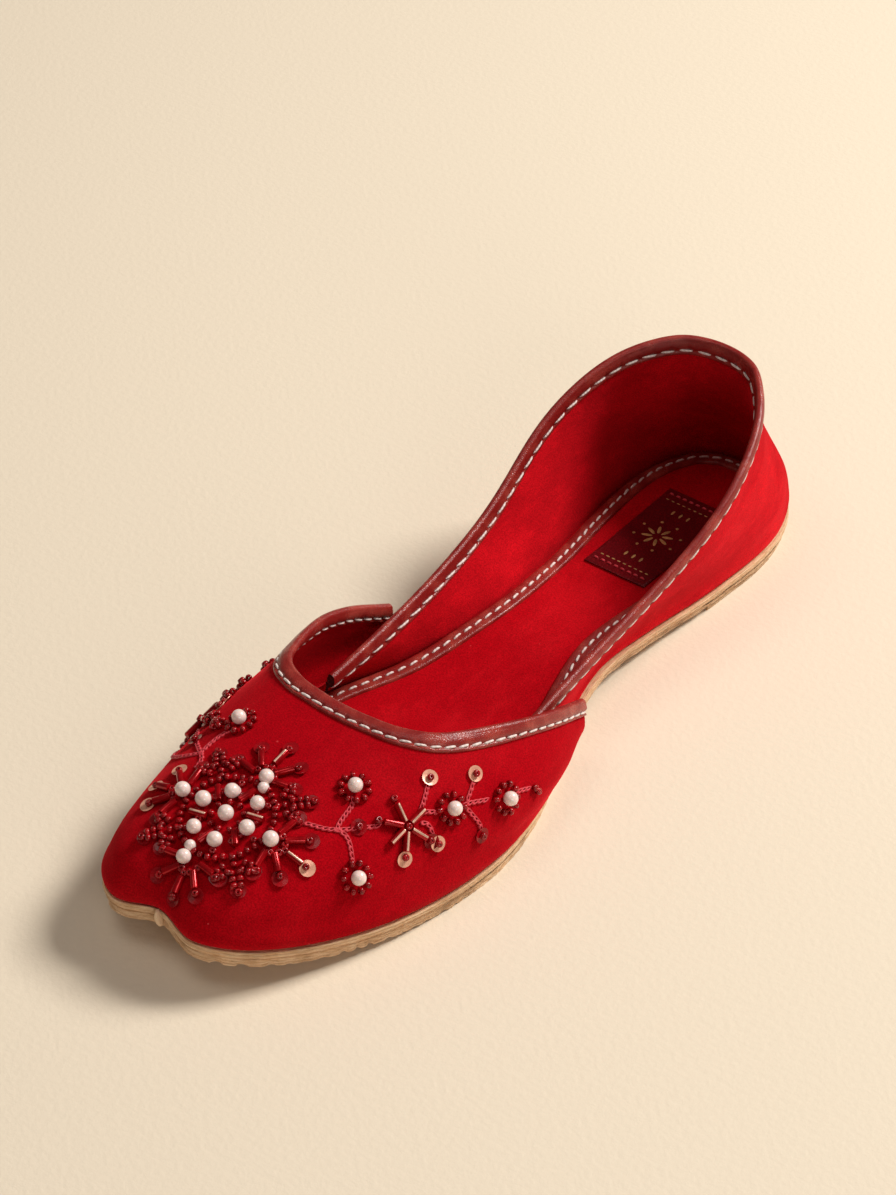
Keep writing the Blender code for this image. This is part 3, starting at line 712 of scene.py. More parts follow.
def thread_material(name, colour, sheen):
    """Twisted thread: fine plies across its length."""
    if name in bpy.data.materials:
        return bpy.data.materials[name]
    made = bpy.data.materials.new(name)
    made.use_nodes = True
    tree = made.node_tree
    shader = tree.nodes["Principled BSDF"]
    place = node(tree, "ShaderNodeTexCoord").outputs["Object"]
    plies = node(tree, "ShaderNodeTexWave", in_Scale=420.0, in_Distortion=1.2, in_Detail=1.0)
    plies.bands_direction = "DIAGONAL"
    tree.links.new(place, plies.inputs["Vector"])
    fuzz = scaled_noise(tree, place, 3000.0, 2.0)
    base = mix_colour(tree, ranged(tree, plies.outputs["Fac"], 0.1, 0.9, 0.0, 0.40), rgba(colour), rgba(colour, 0.62))
    tree.links.new(base, shader.inputs["Base Color"])
    tree.links.new(ranged(tree, fuzz, 0.2, 0.8, 0.45, 0.75), shader.inputs["Roughness"])
    relief = node(tree, "ShaderNodeBump", in_Strength=0.5, in_Distance=0.0001)
    tree.links.new(plies.outputs["Fac"], relief.inputs["Height"])
    tree.links.new(relief.outputs["Normal"], shader.inputs["Normal"])
    set_sockets(shader, {"Sheen_Weight": sheen, "Sheen_Roughness": 0.4})
    made.diffuse_color = rgba(colour)
    return made


def glass_material(name, colour, tone_and_painted_glow, roughness, **sockets):
    """Glass or glazed bead: body colour mixed in random patches with a second colour. On the ruby and lined glass and
    the red spangles that second colour is brighter, painted light that stands in for light shining through the glass.
    """
    if name in bpy.data.materials:
        return bpy.data.materials[name]
    made = bpy.data.materials.new(name)
    made.use_nodes = True
    tree = made.node_tree
    shader = tree.nodes["Principled BSDF"]
    place = node(tree, "ShaderNodeTexCoord").outputs["Object"]
    cloud = scaled_noise(tree, place, 420.0, 2.0)
    # Noise patches mix the body colour towards the second colour; on red glass that colour is brighter, painted light
    # shining through the bead.
    base = mix_colour(tree, ranged(tree, cloud, 0.38, 0.66), rgba(colour), rgba(tone_and_painted_glow))
    tree.links.new(base, shader.inputs["Base Color"])
    fine = scaled_noise(tree, place, 1800.0, 2.0)
    tree.links.new(ranged(tree, fine, 0.3, 0.7, roughness * 0.8, roughness * 1.3), shader.inputs["Roughness"])
    set_sockets(shader, sockets)
    made.diffuse_color = rgba(colour)
    return made


# Mesh helpers


def deselect():
    """Nothing selected, so that an operator acts on what is picked next."""
    bpy.ops.object.select_all(action="DESELECT")


def pick(piece):
    """Make one piece the only selected and active one."""
    deselect()
    piece.select_set(True)
    bpy.context.view_layer.objects.active = piece


def coordinates(mesh):
    """A mesh's points as an array."""
    points = np.empty(len(mesh.vertices) * 3)
    mesh.vertices.foreach_get("co", points)
    return points.reshape(-1, 3)


def move_points(mesh, points):
    """Put a mesh's points where the array says."""
    mesh.vertices.foreach_set("co", np.ascontiguousarray(points, dtype=np.float32).ravel())
    mesh.update()


def waves(points, pitch, height):
    """A gentle uneven relief, one height for each point."""
    return np.array([noise.noise(Vector(point) / pitch) for point in points]) * height


def grid_piece(name, columns, rows, place):
    """A grid primitive laid on a surface; place takes its shares both ways."""
    deselect()
    bpy.ops.mesh.primitive_grid_add(x_subdivisions=columns, y_subdivisions=rows, size=1.0)
    piece = bpy.context.active_object
    piece.name = name
    piece.data.name = name
    flat = coordinates(piece.data)
    move_points(piece.data, place(flat[:, 0] + 0.5, flat[:, 1] + 0.5))
    return piece


def face_outwards(piece, normals):
    """Flip a sheet whose faces run against the given point normals."""
    mesh = piece.data
    found = np.empty(len(mesh.vertices) * 3)
    mesh.vertices.foreach_get("normal", found)
    if (found.reshape(-1, 3) * normals).sum() < 0:
        mesh.flip_normals()


def apply_solidify(piece, thickness, lining):
    """Give a sheet its thickness inwards, with the lining on its inner side."""
    pick(piece)
    shell = piece.modifiers.new("wall", "SOLIDIFY")
    shell.thickness = thickness
    shell.offset = -1.0
    shell.use_even_offset = True
    shell.material_offset = lining
    if piece.vertex_groups:
        shell.vertex_group = piece.vertex_groups[0].name
    bpy.ops.object.modifier_apply(modifier=shell.name)
    piece.vertex_groups.clear()


def loft_piece(name, rings, closed=False):
    """Skin over a run of equal rings with a UV map in metres; end rings are capped."""
    rings = np.asarray(rings, float)
    count, around = rings.shape[:2]
    faces = []
    for i in range(count if closed else count - 1):
        j = (i + 1) % count
        for k in range(around):
            m = (k + 1) % around
            faces.append((i * around + k, i * around + m, j * around + m, j * around + k))
    body = len(faces)
    if not closed:
        faces.append(tuple(range(around))[::-1])
        faces.append(tuple((count - 1) * around + k for k in range(around)))
    mesh = bpy.data.meshes.new(name)
    mesh.from_pydata(rings.reshape(-1, 3).tolist(), [], faces)
    run = np.concatenate([[0.0], np.cumsum(np.linalg.norm(np.diff(rings, axis=0), axis=2).mean(1))])
    turn = np.concatenate([[0.0], np.cumsum(np.linalg.norm(np.diff(rings[count // 2], axis=0), axis=1))])
    layer = mesh.uv_layers.new(name="edge")
    for face in mesh.polygons:
        for loop in face.loop_indices:
            i, k = divmod(mesh.loops[loop].vertex_index, around)
            layer.data[loop].uv = (run[i], turn[k])
    piece = bpy.data.objects.new(name, mesh)
    bpy.context.scene.collection.objects.link(piece)
    mesh.calc_loop_triangles()
    corners = np.array([[mesh.vertices[v].co for v in t.vertices] for t in mesh.loop_triangles])
    volume = (corners[:, 0] * np.cross(corners[:, 1], corners[:, 2])).sum()
    if volume < 0:
        mesh.flip_normals()
    return piece, body


def settle(piece, materials, slot, *nodes, sharp=None):
    """Shade a finished piece, give it its materials and hang it on the shoe."""
    for material in materials:
        piece.data.materials.append(material)
    pick(piece)
    if sharp is None:
        bpy.ops.object.shade_smooth()
    else:
        bpy.ops.object.shade_smooth_by_angle(angle=math.radians(sharp))
    deselect()
    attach(piece, "root")
    if nodes:
        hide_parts(*nodes)
    return piece


def pattern_mesh(adder, **settings):
    """Points and faces of one primitive made with its operator, then removed."""
    deselect()
    adder(**settings)
    made = bpy.context.active_object
    points = coordinates(made.data) @ np.array(made.matrix_world.to_3x3()).T
    faces = [tuple(face.vertices) for face in made.data.polygons]
    mesh = made.data
    bpy.data.objects.remove(made, do_unlink=True)
    bpy.data.meshes.remove(mesh)
    return points, faces


def copies_piece(name, pattern, places):
    """One mesh of many copies of a pattern, each at a 4 by 4 place."""
    points, faces = pattern
    every = []
    skins = []
    for place in places:
        base = len(every) * len(points)
        every.append(points @ np.array(place.to_3x3()).T + np.array(place.translation))
        skins.extend([tuple(base + v for v in face) for face in faces])
    mesh = bpy.data.meshes.new(name)
    mesh.from_pydata(np.concatenate(every).tolist(), [], skins)
    piece = bpy.data.objects.new(name, mesh)
    bpy.context.scene.collection.objects.link(piece)
    return piece


def placed(point, long_way, up, scale=(1.0, 1.0, 1.0)):
    """A 4 by 4 place whose X runs the long way and whose Z leans towards up."""
    x = Vector(long_way).normalized()
    y = Vector(up).cross(x)
    if y.length < 1e-6:
        y = x.orthogonal()
    y.normalize()
    z = x.cross(y)
    turn = Matrix((x * scale[0], y * scale[1], z * scale[2])).transposed().to_4x4()
    turn.translation = Vector(point)
    return turn


def even_points(points, pitch):
    """Middle points and directions at even steps along a line."""
    points = np.asarray(points, float)
    run = np.concatenate([[0.0], np.cumsum(np.linalg.norm(np.diff(points, axis=0), axis=1))])
    count = max(int(round(run[-1] / pitch)), 1)
    marks = (np.arange(count) + 0.5) * run[-1] / count
    middle = np.stack([np.interp(marks, run, points[:, k]) for k in range(3)], -1)
    before = np.stack([np.interp(marks - pitch / 4, run, points[:, k]) for k in range(3)], -1)
    after = np.stack([np.interp(marks + pitch / 4, run, points[:, k]) for k in range(3)], -1)
    return middle, after - before, marks / run[-1]


# Sole


def sole_row(share, inset, count, trim=0.0):
    """One row across a sole layer from the inner to the outer side."""
    plan, _ = outline(np.array([share]), np.array([inset + trim]))
    along, across = plan[0]
    position = np.linspace(-1.0, 1.0, count)
    notch = TOE_NOTCH * (1.0 - smoothstep(0.0, 0.22, share)) * smoothstep(0.0, 0.03, share)
    return along + notch * (1.0 - position ** 2), across * position


def sole_edge(share, side, inset, heights, grooves, rough, bevel):
    """Places along and across down a layer's cut edge, with its plies, its rounding and its wear."""
    cut = bevel * np.abs(2 * heights - 1) ** 6
    for centre, depth, width in grooves:
        cut = cut + depth * np.exp(-((heights - centre) / width) ** 2)
    wear = []
    for height in heights:
        coarse = noise.noise(Vector((share * 60.0, side * 3.0, height * 1.6)))
        fine = noise.noise(Vector((share * 420.0, side * 7.0, height * 5.0)))
        wear.append(rough * (0.9 * coarse + 0.7 * fine))
    plan, _ = outline(np.full(len(heights), share), inset + cut - np.array(wear))
    return plan[:, 0], plan[:, 1] * side


def sole_layer(name, inset, bottom, top, rough, grooves=(), first=0.005, last=0.995, bevel=0.00030):
    """A sole layer with a cut, slightly torn edge."""
    rings = []
    heights = np.linspace(0.0, 1.0, 15)
    shares = np.concatenate([np.linspace(first, first + 0.045, 34), np.linspace(first + 0.0465, last, 420)])
    for share in shares:
        along, across = sole_row(share, inset, 21, bevel)
        low = bottom(along, across)
        high = top(along, across)
        ring = [world(along, across, low)]
        sides = []
        for side, index in ((1, -1), (-1, 0)):
            a, c = sole_edge(share, side, inset, heights, grooves, rough, bevel)
            sides.append(world(a, c, low[index] + (high[index] - low[index]) * heights))
        ring.append(sides[0])
        ring.append(world(along, across, high)[::-1])
        ring.append(sides[1][::-1])
        rings.append(np.concatenate(ring))
    return loft_piece(name, rings)[0]


class MOJARI_OT_sole(bpy.types.Operator):
    """Make the outsole, the sole's upper layer, the heel lift and the folded toe tip"""

    bl_idname = "mojari.sole"
    bl_label = "Sole"

    def execute(self, context):
        tone = colours()
        length = sizes().shoe_length

        def torn_bottom(along, across):
            share = along / length
            ripple = np.sin(along * 1500.0 + 1.2 * np.sin(along * 410.0))
            bite = np.clip(ripple + 0.2, 0.0, 1.0) ** 1.4 * (0.6 + 0.4 * np.sin(along * 230.0 + 0.6))
            edge = smoothstep(0.90, 1.0, np.abs(across) / max(np.abs(across).max(), 1e-6))
            front = 1.0 - smoothstep(0.16, 0.34, share)
            return sole_bottom(along, across) + 0.00095 * bite * edge * front

        plies = ((0.30, 0.00022, 0.05), (0.62, 0.00016, 0.04))
        outsole = sole_layer("outsole_leather", SOLE_EDGE_STEP - 0.0002, torn_bottom,
                             lambda a, c: sole_bottom(a, c) + outsole_thickness(a) + 0.0002, 0.00026, plies)
        settle(outsole, [sole_material("outsole_hide", tone.sole, 0.50)], "sole_leather", "outsole", sharp=50)
        lip = sole_layer("upper_sole_layer", 0.0, midsole_bottom, sole_top, 0.00014,
                         ((0.16, 0.00045, 0.14), (0.68, 0.00026, 0.06)))
        settle(lip, [sole_material("lip_hide", [v * 1.10 for v in tone.sole], 0.30)], "edge_leather",
               "midsole", sharp=50)
        fine = np.linspace(0.5, 1.0, 400)
        start = float(np.interp(length - LIFT_LENGTH, trace(outline_rows(), fine)[:, 0], fine))
        lift = sole_layer("heel_lift_leather", LIFT_INSET, lambda a, c: 0 * a,
                          lambda a, c: sole_bottom(a, c) - FIT_GAP * 0.3, 0.00016, ((0.5, 0.00015, 0.1),),
                          start, 0.994, 0.0002)
        settle(lift, [sole_material("lift_hide", [v * 0.74 for v in tone.sole], 0.7)], "sole_leather",
               "heel_lift", sharp=50)
        self.toe_fold()
        return {"FINISHED"}

    def toe_fold(self):
        """Pale folded tip of the sole leather where the two lobes of the toe meet."""
        along, across = sole_row(0.006, -0.0002, 3)
        base = world(along[1:2], across[1:2], midsole_bottom(along[1:2], across[1:2]))[0]
        rings = []
        for step in np.linspace(0.0, 1.0, 14):
            width = 0.00075 * math.sin(math.pi * (0.14 + 0.76 * step)) + 0.0001
            deep = 0.0009 * math.sin(math.pi * (0.15 + 0.75 * step)) + 0.0003
            centre = base + np.array([0.0007 - 0.0010 * step, -0.0003 - 0.0004 * math.sin(3.0 * step),
                                      -0.0020 + 0.0046 * step])
            angles = np.linspace(0.0, 2 * math.pi, 14, endpoint=False)
            rings.append([centre + np.array([width * math.cos(a), deep * math.sin(a), 0.0]) for a in angles])
        tip = loft_piece("toe_fold", rings)[0]
        settle(tip, [sole_material("fold_hide", colours().sole_pale, 0.1)], "edge_leather", sharp=60)


# Upper


class MOJARI_OT_upper(bpy.types.Operator):
    """Make the velvet vamp and the velvet quarter with their linings"""

    bl_idname = "mojari.upper"
    bl_label = "Upper"

    def execute(self, context):
        size = sizes()
        tone = colours()
        pile = velvet_material("vamp_velvet", tone.velvet, tone.velvet_light, 0.42, 0.6)
        lining = velvet_material("lining_velvet", tone.lining, tone.velvet_light, 0.50, 0.4)
        suede = velvet_material("quarter_velvet", tone.suede, [v * 1.25 for v in tone.velvet_light], 1.0, 0.2)
        vamp = self.strip("vamp", vamp_surface, 300, 90, 0.00022, 0.0011, size.throat_band)
        apply_solidify(vamp, size.wall - 0.0001, 1)
        settle(vamp, [pile, lining], "velvet", "upper")
        quarter = self.strip("quarter", quarter_surface, 380, 70, 0.00022, 0.0005, size.topline_band)
        apply_solidify(quarter, size.wall - 0.0001, 1)
        settle(quarter, [suede, lining], "velvet")
        return {"FINISHED"}

    def strip(self, name, surface, columns, rows, relief, roll, band):
        """A strip of the upper from the sole, where it rolls outwards, to its skived free edge."""
        found = {}

        def place(across, up):
            shares = across * 2.0 - 1.0
            foot = 8.0 / rows
            levels = np.where(up < foot, up / foot - 1.0, ((up - foot) / (1.0 - foot)) ** 1.15 * 0.999)
            points, normals, _, _ = surface_frame(surface, shares, levels)
            fade = smoothstep(0.0, 0.10, levels) * (1.0 - smoothstep(0.78, 0.90, levels))
            bumps = (waves(points, 0.016, relief) + waves(points, 0.006, relief * 0.4)) * fade
            bumps = bumps + roll * np.exp(-((levels - 0.035) / 0.060) ** 2)
            points = points + normals * bumps[:, None]
            rise = points.reshape(rows + 1, columns + 1, 3)
            steps = np.linalg.norm(np.diff(rise, axis=0), axis=2)[::-1]
            depth = np.concatenate([np.zeros((1, columns + 1)), np.cumsum(steps, axis=0)])[::-1]
            found["normals"] = normals
            found["share"] = wall_share(depth.ravel(), band)
            return points

        piece = grid_piece(name, columns, rows, place)
        face_outwards(piece, found["normals"])
        group = piece.vertex_groups.new(name="wall")
        for index, share in enumerate(found["share"]):
            group.add([index], float(share), "REPLACE")
        return piece


# Bindings and stitches


def wall_share(depth, band):
    """Share of the wall's thickness left at a depth below the free edge, skived towards it."""
    return 0.42 + 0.58 * smoothstep(0.0005, band + 0.004, depth)


def tape_section(band, tape, seam_depth):
    """Contour of a folded tape from its cut edge up to the rim: depth and height off the wall."""
    depths = np.concatenate([[band], band - np.array([0.00008, 0.0002, 0.0004, 0.0007]),
                             np.linspace(band - 0.0009, 0.0002, 17)])
    rounded = np.clip((band - depths) / 0.0004, 0.0, 1.0) ** 0.5
    roll = 0.00036 * np.sin(math.pi * np.clip(depths / seam_depth, 0.0, 1.0)) ** 0.8
    flange = 0.00010 * np.exp(-((depths - (band + seam_depth) / 2) / 0.0004) ** 2)
    groove = 0.00022 * np.exp(-((depths - seam_depth) / 0.00040) ** 2)
    heights = 0.00010 + tape * rounded + roll + flange - groove
    return depths, heights


def tape_piece(name, surface, band, stations, pitch, seam_depth, deeper):
    """A leather tape folded over the free edge of a strip, with its stitch lines; returns both.

    The flap on the inner side reaches deeper by the given factor.
    """
    size = sizes()
    shares = np.linspace(-1.0, 1.0, stations)
    depths, heights = tape_section(band, size.tape, seam_depth)
    levels = levels_at_depth(surface, shares, depths)
    flat_shares = np.repeat(shares, len(depths))
    here, normal, onward, up = surface_frame(surface, flat_shares, levels.ravel())
    shape = (stations, len(depths), 3)
    here, normal, onward, up = (part.reshape(shape) for part in (here, normal, onward, up))
    edge, edge_out, _, edge_up = surface_frame(surface, shares, np.ones(stations))
    run = np.concatenate([[0.0], np.cumsum(np.linalg.norm(np.diff(edge, axis=0), axis=1))])
    count = max(int(round(run[-1] / pitch)), 1)
    step = run[-1] / count
    off = np.abs((run / step) % 1.0)
    off = np.minimum(off, 1.0 - off) * step
    pull = np.exp(-(off / 0.0006) ** 2)[:, None] * np.exp(-((depths - seam_depth) / 0.0008) ** 2)[None, :] * 0.00030
    wobble = waves(edge, 0.011, 0.00012)[:, None] + waves(edge, 0.0035, 0.00005)[:, None]
    lift = heights[None, :] - pull + wobble
    outer = here + normal * lift[..., None]
    below = levels_at_depth(surface, shares, depths * deeper)
    behind, back, _, _ = surface_frame(surface, flat_shares, below.ravel())
    behind, back = behind.reshape(shape), back.reshape(shape)
    wall = size.wall * wall_share(depths * deeper, band)
    inner = behind - back * (wall[None, :] + lift)[..., None]
    top = heights[-1] + 0.00002
    rim = size.wall * float(wall_share(np.array(0.0), band))
    arc = []
    for angle in np.linspace(0.0, math.pi, 11)[1:-1]:
        reach = rim / 2 + top
        sideways = -rim / 2 + reach * math.cos(angle)
        arc.append(edge + edge_out * sideways + edge_up * (reach * math.sin(angle) - 0.0002))
    arc = np.stack(arc, axis=1)
    under_out = here[:, :1] - normal[:, :1] * 0.00015
    under_in = behind[:, :1] - back[:, :1] * (wall[0] - 0.00015)
    rings = np.concatenate([under_out, outer, arc, inner[:, ::-1], under_in], axis=1)
    piece, body = loft_piece(name, rings)
    proud = size.tape - 0.00010
    found = levels_at_depth(surface, shares, [seam_depth, seam_depth * deeper])
    point, out, _, _ = surface_frame(surface, shares, found[:, 0])
    lines = [(point + out * proud, out)]
    point, out, _, _ = surface_frame(surface, shares, found[:, 1])
    inside = size.wall * float(wall_share(np.array(seam_depth * deeper), band))
    lines.append((point - out * (inside + proud), -out))
    return piece, body, lines, step


def stitch_places(line, outs, pitch, length, slant, seed):
    """Places of saddle stitches along a line."""
    rng = random.Random(seed)
    middle, direction, shares = even_points(line, pitch)
    marks = np.linspace(0.0, 1.0, len(outs))
    run = np.concatenate([[0.0], np.cumsum(np.linalg.norm(np.diff(line, axis=0), axis=1))])
    marks = run / run[-1]
    out = np.stack([np.interp(shares, marks, outs[:, k]) for k in range(3)], -1)
    places = []
    for point, way, up in zip(middle, direction, out):
        up = Vector(up).normalized()
        turn = Matrix.Rotation(math.radians(slant + rng.uniform(-4, 4)), 3, up)
        stretch = length / 2 * rng.uniform(0.93, 1.05)
        wide = 0.00035 * rng.uniform(0.9, 1.12)
        places.append(placed(Vector(point) + up * 0.00018, turn @ Vector(way), up, (stretch, wide, 0.00032)))
    return places


def stitch_pattern():
    """One stitch: a short strand, pinched and sunk at both ends."""
    points, faces = pattern_mesh(bpy.ops.mesh.primitive_uv_sphere_add, segments=8, ring_count=7, radius=1.0,
                                 rotation=(0.0, math.pi / 2, 0.0))
    points = points.copy()
    points[:, 1:] *= np.sqrt(1.0 + points[:, :1] ** 2)
    points[:, 2] -= 1.3 * np.abs(points[:, 0]) ** 5
    return points, faces


class MOJARI_OT_bindings(bpy.types.Operator):
    """Make the leather bindings of the throat and the topline with their saddle stitches"""

    bl_idname = "mojari.bindings"
    bl_label = "Bindings"

    def execute(self, context):
        size = sizes()
        tone = colours()
        leather = leather_material("tape_leather", tone.tape, tone.tape_rubbed, 0.55)
        cut = leather_material("cut_end", [v * 0.12 for v in tone.tape], [v * 0.2 for v in tone.tape], 0.3, 900.0, 0.0)
        thread = thread_material("saddle_thread", tone.thread, 0.15)
        strand = stitch_pattern()
        places = []
        jobs = (
            ("throat_tape", vamp_surface, size.throat_band, 420, size.throat_stitch, 0.0031, 1.0, "throat_binding"),
            ("topline_tape", quarter_surface, size.topline_band, 700, size.topline_stitch, 0.0022, 1.45,
             "topline_binding"),
        )
        for name, surface, band, stations, pitch, seam, deeper, covered in jobs:
            piece, body, lines, step = tape_piece(name, surface, band, stations, pitch, seam, deeper)
            settle(piece, [leather, cut], "binding_leather", covered, sharp=60)
            for face in piece.data.polygons[body:]:
                face.material_index = 1
            for number, (line, outs) in enumerate(lines):
                slant = 5.0 if number == 0 else -5.0
                places += stitch_places(line, outs, step, pitch * 0.88, slant, number + stations)
        stitches = copies_piece("binding_stitches", strand, places)
        settle(stitches, [thread], "binding_leather")
        return {"FINISHED"}


# Insole


def insole_inset(shares, extra):
    """Inset of the insole's edge from the sole's edge."""
    beside_quarter = QUARTER_TUCK * (1.0 - smoothstep(0.50, 0.58, np.abs(np.asarray(shares, float))))
    return UPPER_INSET + beside_quarter + sizes().wall + INSOLE_CLEARANCE + extra


def insole_top(along, across):
    """Height of the insole's upper face, padded a little under the waist and the heel."""
    padding = INSOLE_PADDING * smoothstep(0.36, 0.62, along / sizes().shoe_length)
    return sole_top(along, across) + FIT_GAP + INSOLE_THICKNESS + padding


class MOJARI_OT_insole(bpy.types.Operator):
    """Make the velvet insole, its stitched leather tape and the bare label patch"""

    bl_idname = "mojari.insole"
    bl_label = "Insole"

    def execute(self, context):
        tone = colours()
        self.board()
        thread = thread_material("saddle_thread", tone.thread, 0.15)
        places = self.tape()
        stitches = copies_piece("insole_stitches", stitch_pattern(), places)
        settle(stitches, [thread], "binding_leather")
        self.label()
        return {"FINISHED"}

    def board(self):
        """Padded board under velvet."""
        tone = colours()
        rings = []
        for share in np.linspace(0.064, 0.985, 220):
            along, across = sole_row(share, insole_inset(share, FIT_GAP + sizes().tape), 33)
            top = world(along, across, insole_top(along, across))
            low = world(along, across, sole_top(along, across) + FIT_GAP)
            hollow = 0.00025 * np.cos(np.linspace(-math.pi / 2, math.pi / 2, 33))
            top[:, 2] += waves(top, 0.018, 0.00022) * np.clip(hollow / 0.0002, 0, 1)
            rings.append(np.concatenate([low, top[::-1]]))
        piece = loft_piece("insole_velvet", rings)[0]
        cover = velvet_material("insole_velvet", tone.lining, tone.velvet_light, 0.75, 0.5)
        settle(piece, [cover], "velvet", "insole", sharp=50)

    def tape(self):
        """Leather tape over the insole's edge; returns the places of its stitches."""
        size = sizes()
        tone = colours()
        near = np.linspace(0.066, 1.0, 330)
        shares = np.concatenate([near, -near[-2::-1]])
        inset = np.array([0.0, 0.0001, 0.0003, 0.0007, 0.0012, 0.0017, 0.0021, 0.0026, 0.0031, 0.0035,
                          0.0038, 0.0040, 0.0041]) * size.insole_band / 0.0040
        drop = np.array([0.9, 0.45, 0.18, 0.02, 0.0, 0.10, 0.16, 0.10, 0.02, 0.02, 0.10, 0.35, 0.9])
        over = FIT_GAP + size.tape + 0.0002
        rings = []
        seam = []
        for share in shares:
            plan, _ = outline(np.full(len(inset), share), insole_inset(share, inset))
            along, across = plan[:, 0], plan[:, 1]
            height = insole_top(along, across)
            top = world(along, across, height + over - 0.0009 * drop)
            low = world(along[[-1, 0]], across[[-1, 0]], height[[-1, 0]] - np.array([0.0003, 0.0018]))
            rings.append(np.concatenate([top, low]))
            seam.append(top[6])
        piece = loft_piece("insole_tape", rings, closed=True)[0]
        settle(piece, [leather_material("insole_tape_leather", [v * 0.95 for v in tone.tape], tone.tape_rubbed, 0.6)],
               "binding_leather", "insole_binding", sharp=60)
        seam = np.array(seam)
        outs = np.tile([0.0, 0.0, 1.0], (len(seam), 1))
        return stitch_places(seam, outs, size.insole_stitch, size.insole_stitch * 0.82, 6.0, 5)

    def label(self):
        """Bare leather patch with a pressed border and red stitches along both ends."""
        tone = colours()

        def place(across, up):
            along = LABEL_CENTRE + LABEL_LENGTH * (up - 0.5)
            side = LABEL_WIDTH * (across - 0.5)
            edge = np.minimum(np.minimum(across, 1 - across) * LABEL_WIDTH, np.minimum(up, 1 - up) * LABEL_LENGTH)
            pressed = 0.00012 * np.exp(-((edge - 0.0014) / 0.00022) ** 2)
            soft = 0.0003 * (1.0 - smoothstep(0.0, 0.0006, edge))
            height = insole_top(along, side) + FIT_GAP + 0.0006 - pressed - soft
            return world(along, side, height)

        piece = grid_piece("label_patch", 60, 100, place)
        face_outwards(piece, np.tile([0.0, 0.0, 1.0], (len(piece.data.vertices), 1)))
        apply_solidify(piece, 0.0007, 0)
        leather = leather_material("label_hide", tone.label, [v * 1.5 for v in tone.label], 0.5, 1100.0)
        leather.node_tree.nodes["Principled BSDF"].inputs["Specular IOR Level"].default_value = 0.12
        settle(piece, [leather], "label_leather", "label", sharp=60)
        places = []
        for end in (-1, 1):
            across = np.linspace(-0.44, 0.44, 30) * LABEL_WIDTH
            along = np.full(30, LABEL_CENTRE + end * (LABEL_LENGTH / 2 - 0.0026))
            line = world(along, across, insole_top(along, across) + FIT_GAP + 0.00062)
            outs = np.tile([0.0, 0.0, 1.0], (len(line), 1))
            places += stitch_places(line, outs, 0.0024, 0.0016, 0.0, 40 + end)
        self.foil()
        seam = copies_piece("label_stitches", stitch_pattern(), places)
        settle(seam, [thread_material("red_thread", tone.stem, 0.2)], "label_leather")


    def foil(self):
        """Plain foil print: a star of leaves in a dotted ring, and dots along the border."""
        leaf = pattern_mesh(bpy.ops.mesh.primitive_uv_sphere_add, segments=12, ring_count=7, radius=1.0)

        def on_label(along, across, turn, long_half, wide_half):
            top = insole_top(np.array([along]), np.array([across]))[0] + FIT_GAP + 0.00060
            centre = world(np.array(along), np.array(across), np.array(top))
            way = (math.cos(turn), math.sin(turn), 0.0)
            return placed(centre, way, (0.0, 0.0, 1.0), (long_half, wide_half, 0.00006))

        places = []
        for k in range(8):
            turn = math.pi * k / 4 + math.pi / 8
            for reach, long_half, wide_half in ((0.0030, 0.0017, 0.00055), (0.0068, 0.0005, 0.0005)):
                places.append(on_label(LABEL_CENTRE + reach * math.sin(turn), reach * math.cos(turn), turn,
                                       long_half, wide_half))
        for end in (-1, 1):
            for k in range(9):
                places.append(on_label(LABEL_CENTRE + end * (LABEL_LENGTH / 2 - 0.0052), (k - 4) * 0.0019, 0.0,
                                       0.0006, 0.00024))
            for k in range(3):
                places.append(on_label(LABEL_CENTRE + end * 0.0118, (k - 1) * 0.0026, math.pi / 2, 0.0011, 0.0004))
        gold = glass_material("label_foil", colours().foil, [v * 0.7 for v in colours().foil], 0.42, Metallic=0.3)
        settle(copies_piece("label_foil", leaf, places), [gold], "label_leather")


# Beadwork


class Ground:
    """The vamp's velvet as the ground of the beadwork."""

    def __init__(self):
        mesh = bpy.data.objects["vamp"].data
        self.tree = BVHTree.FromPolygons([v.co for v in mesh.vertices], [f.vertices for f in mesh.polygons])
        low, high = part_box("pearl_01")
        self.centre, self.normal = self.nearest((Vector(low) + Vector(high)) / 2)
        heel = Vector((0, 1, 0))
        self.heel = (heel - self.normal * heel.dot(self.normal)).normalized()
        self.side = self.heel.cross(self.normal).normalized()
        if self.side.x < 0:
            self.side.negate()

    def nearest(self, point):
        """Closest place on the velvet's outer face, with a smooth normal."""
        found, normal, _, _ = self.tree.find_nearest(Vector(point))
        return found, normal

    def rosette(self, radius, angle):
        """Place at a radius and an angle from the rosette's centre; 0 degrees looks to the heel."""
        turn = math.radians(angle)
        flat = self.centre + self.heel * (radius * math.cos(turn)) + self.side * (radius * math.sin(turn))
        return self.nearest(flat)

    def strip(self, share, level):
        """Place on the vamp by its own round and level."""
        here, normal, _, _ = surface_frame(vamp_surface, np.array([share]), np.array([level]))
        return Vector(here[0]), Vector(normal[0])


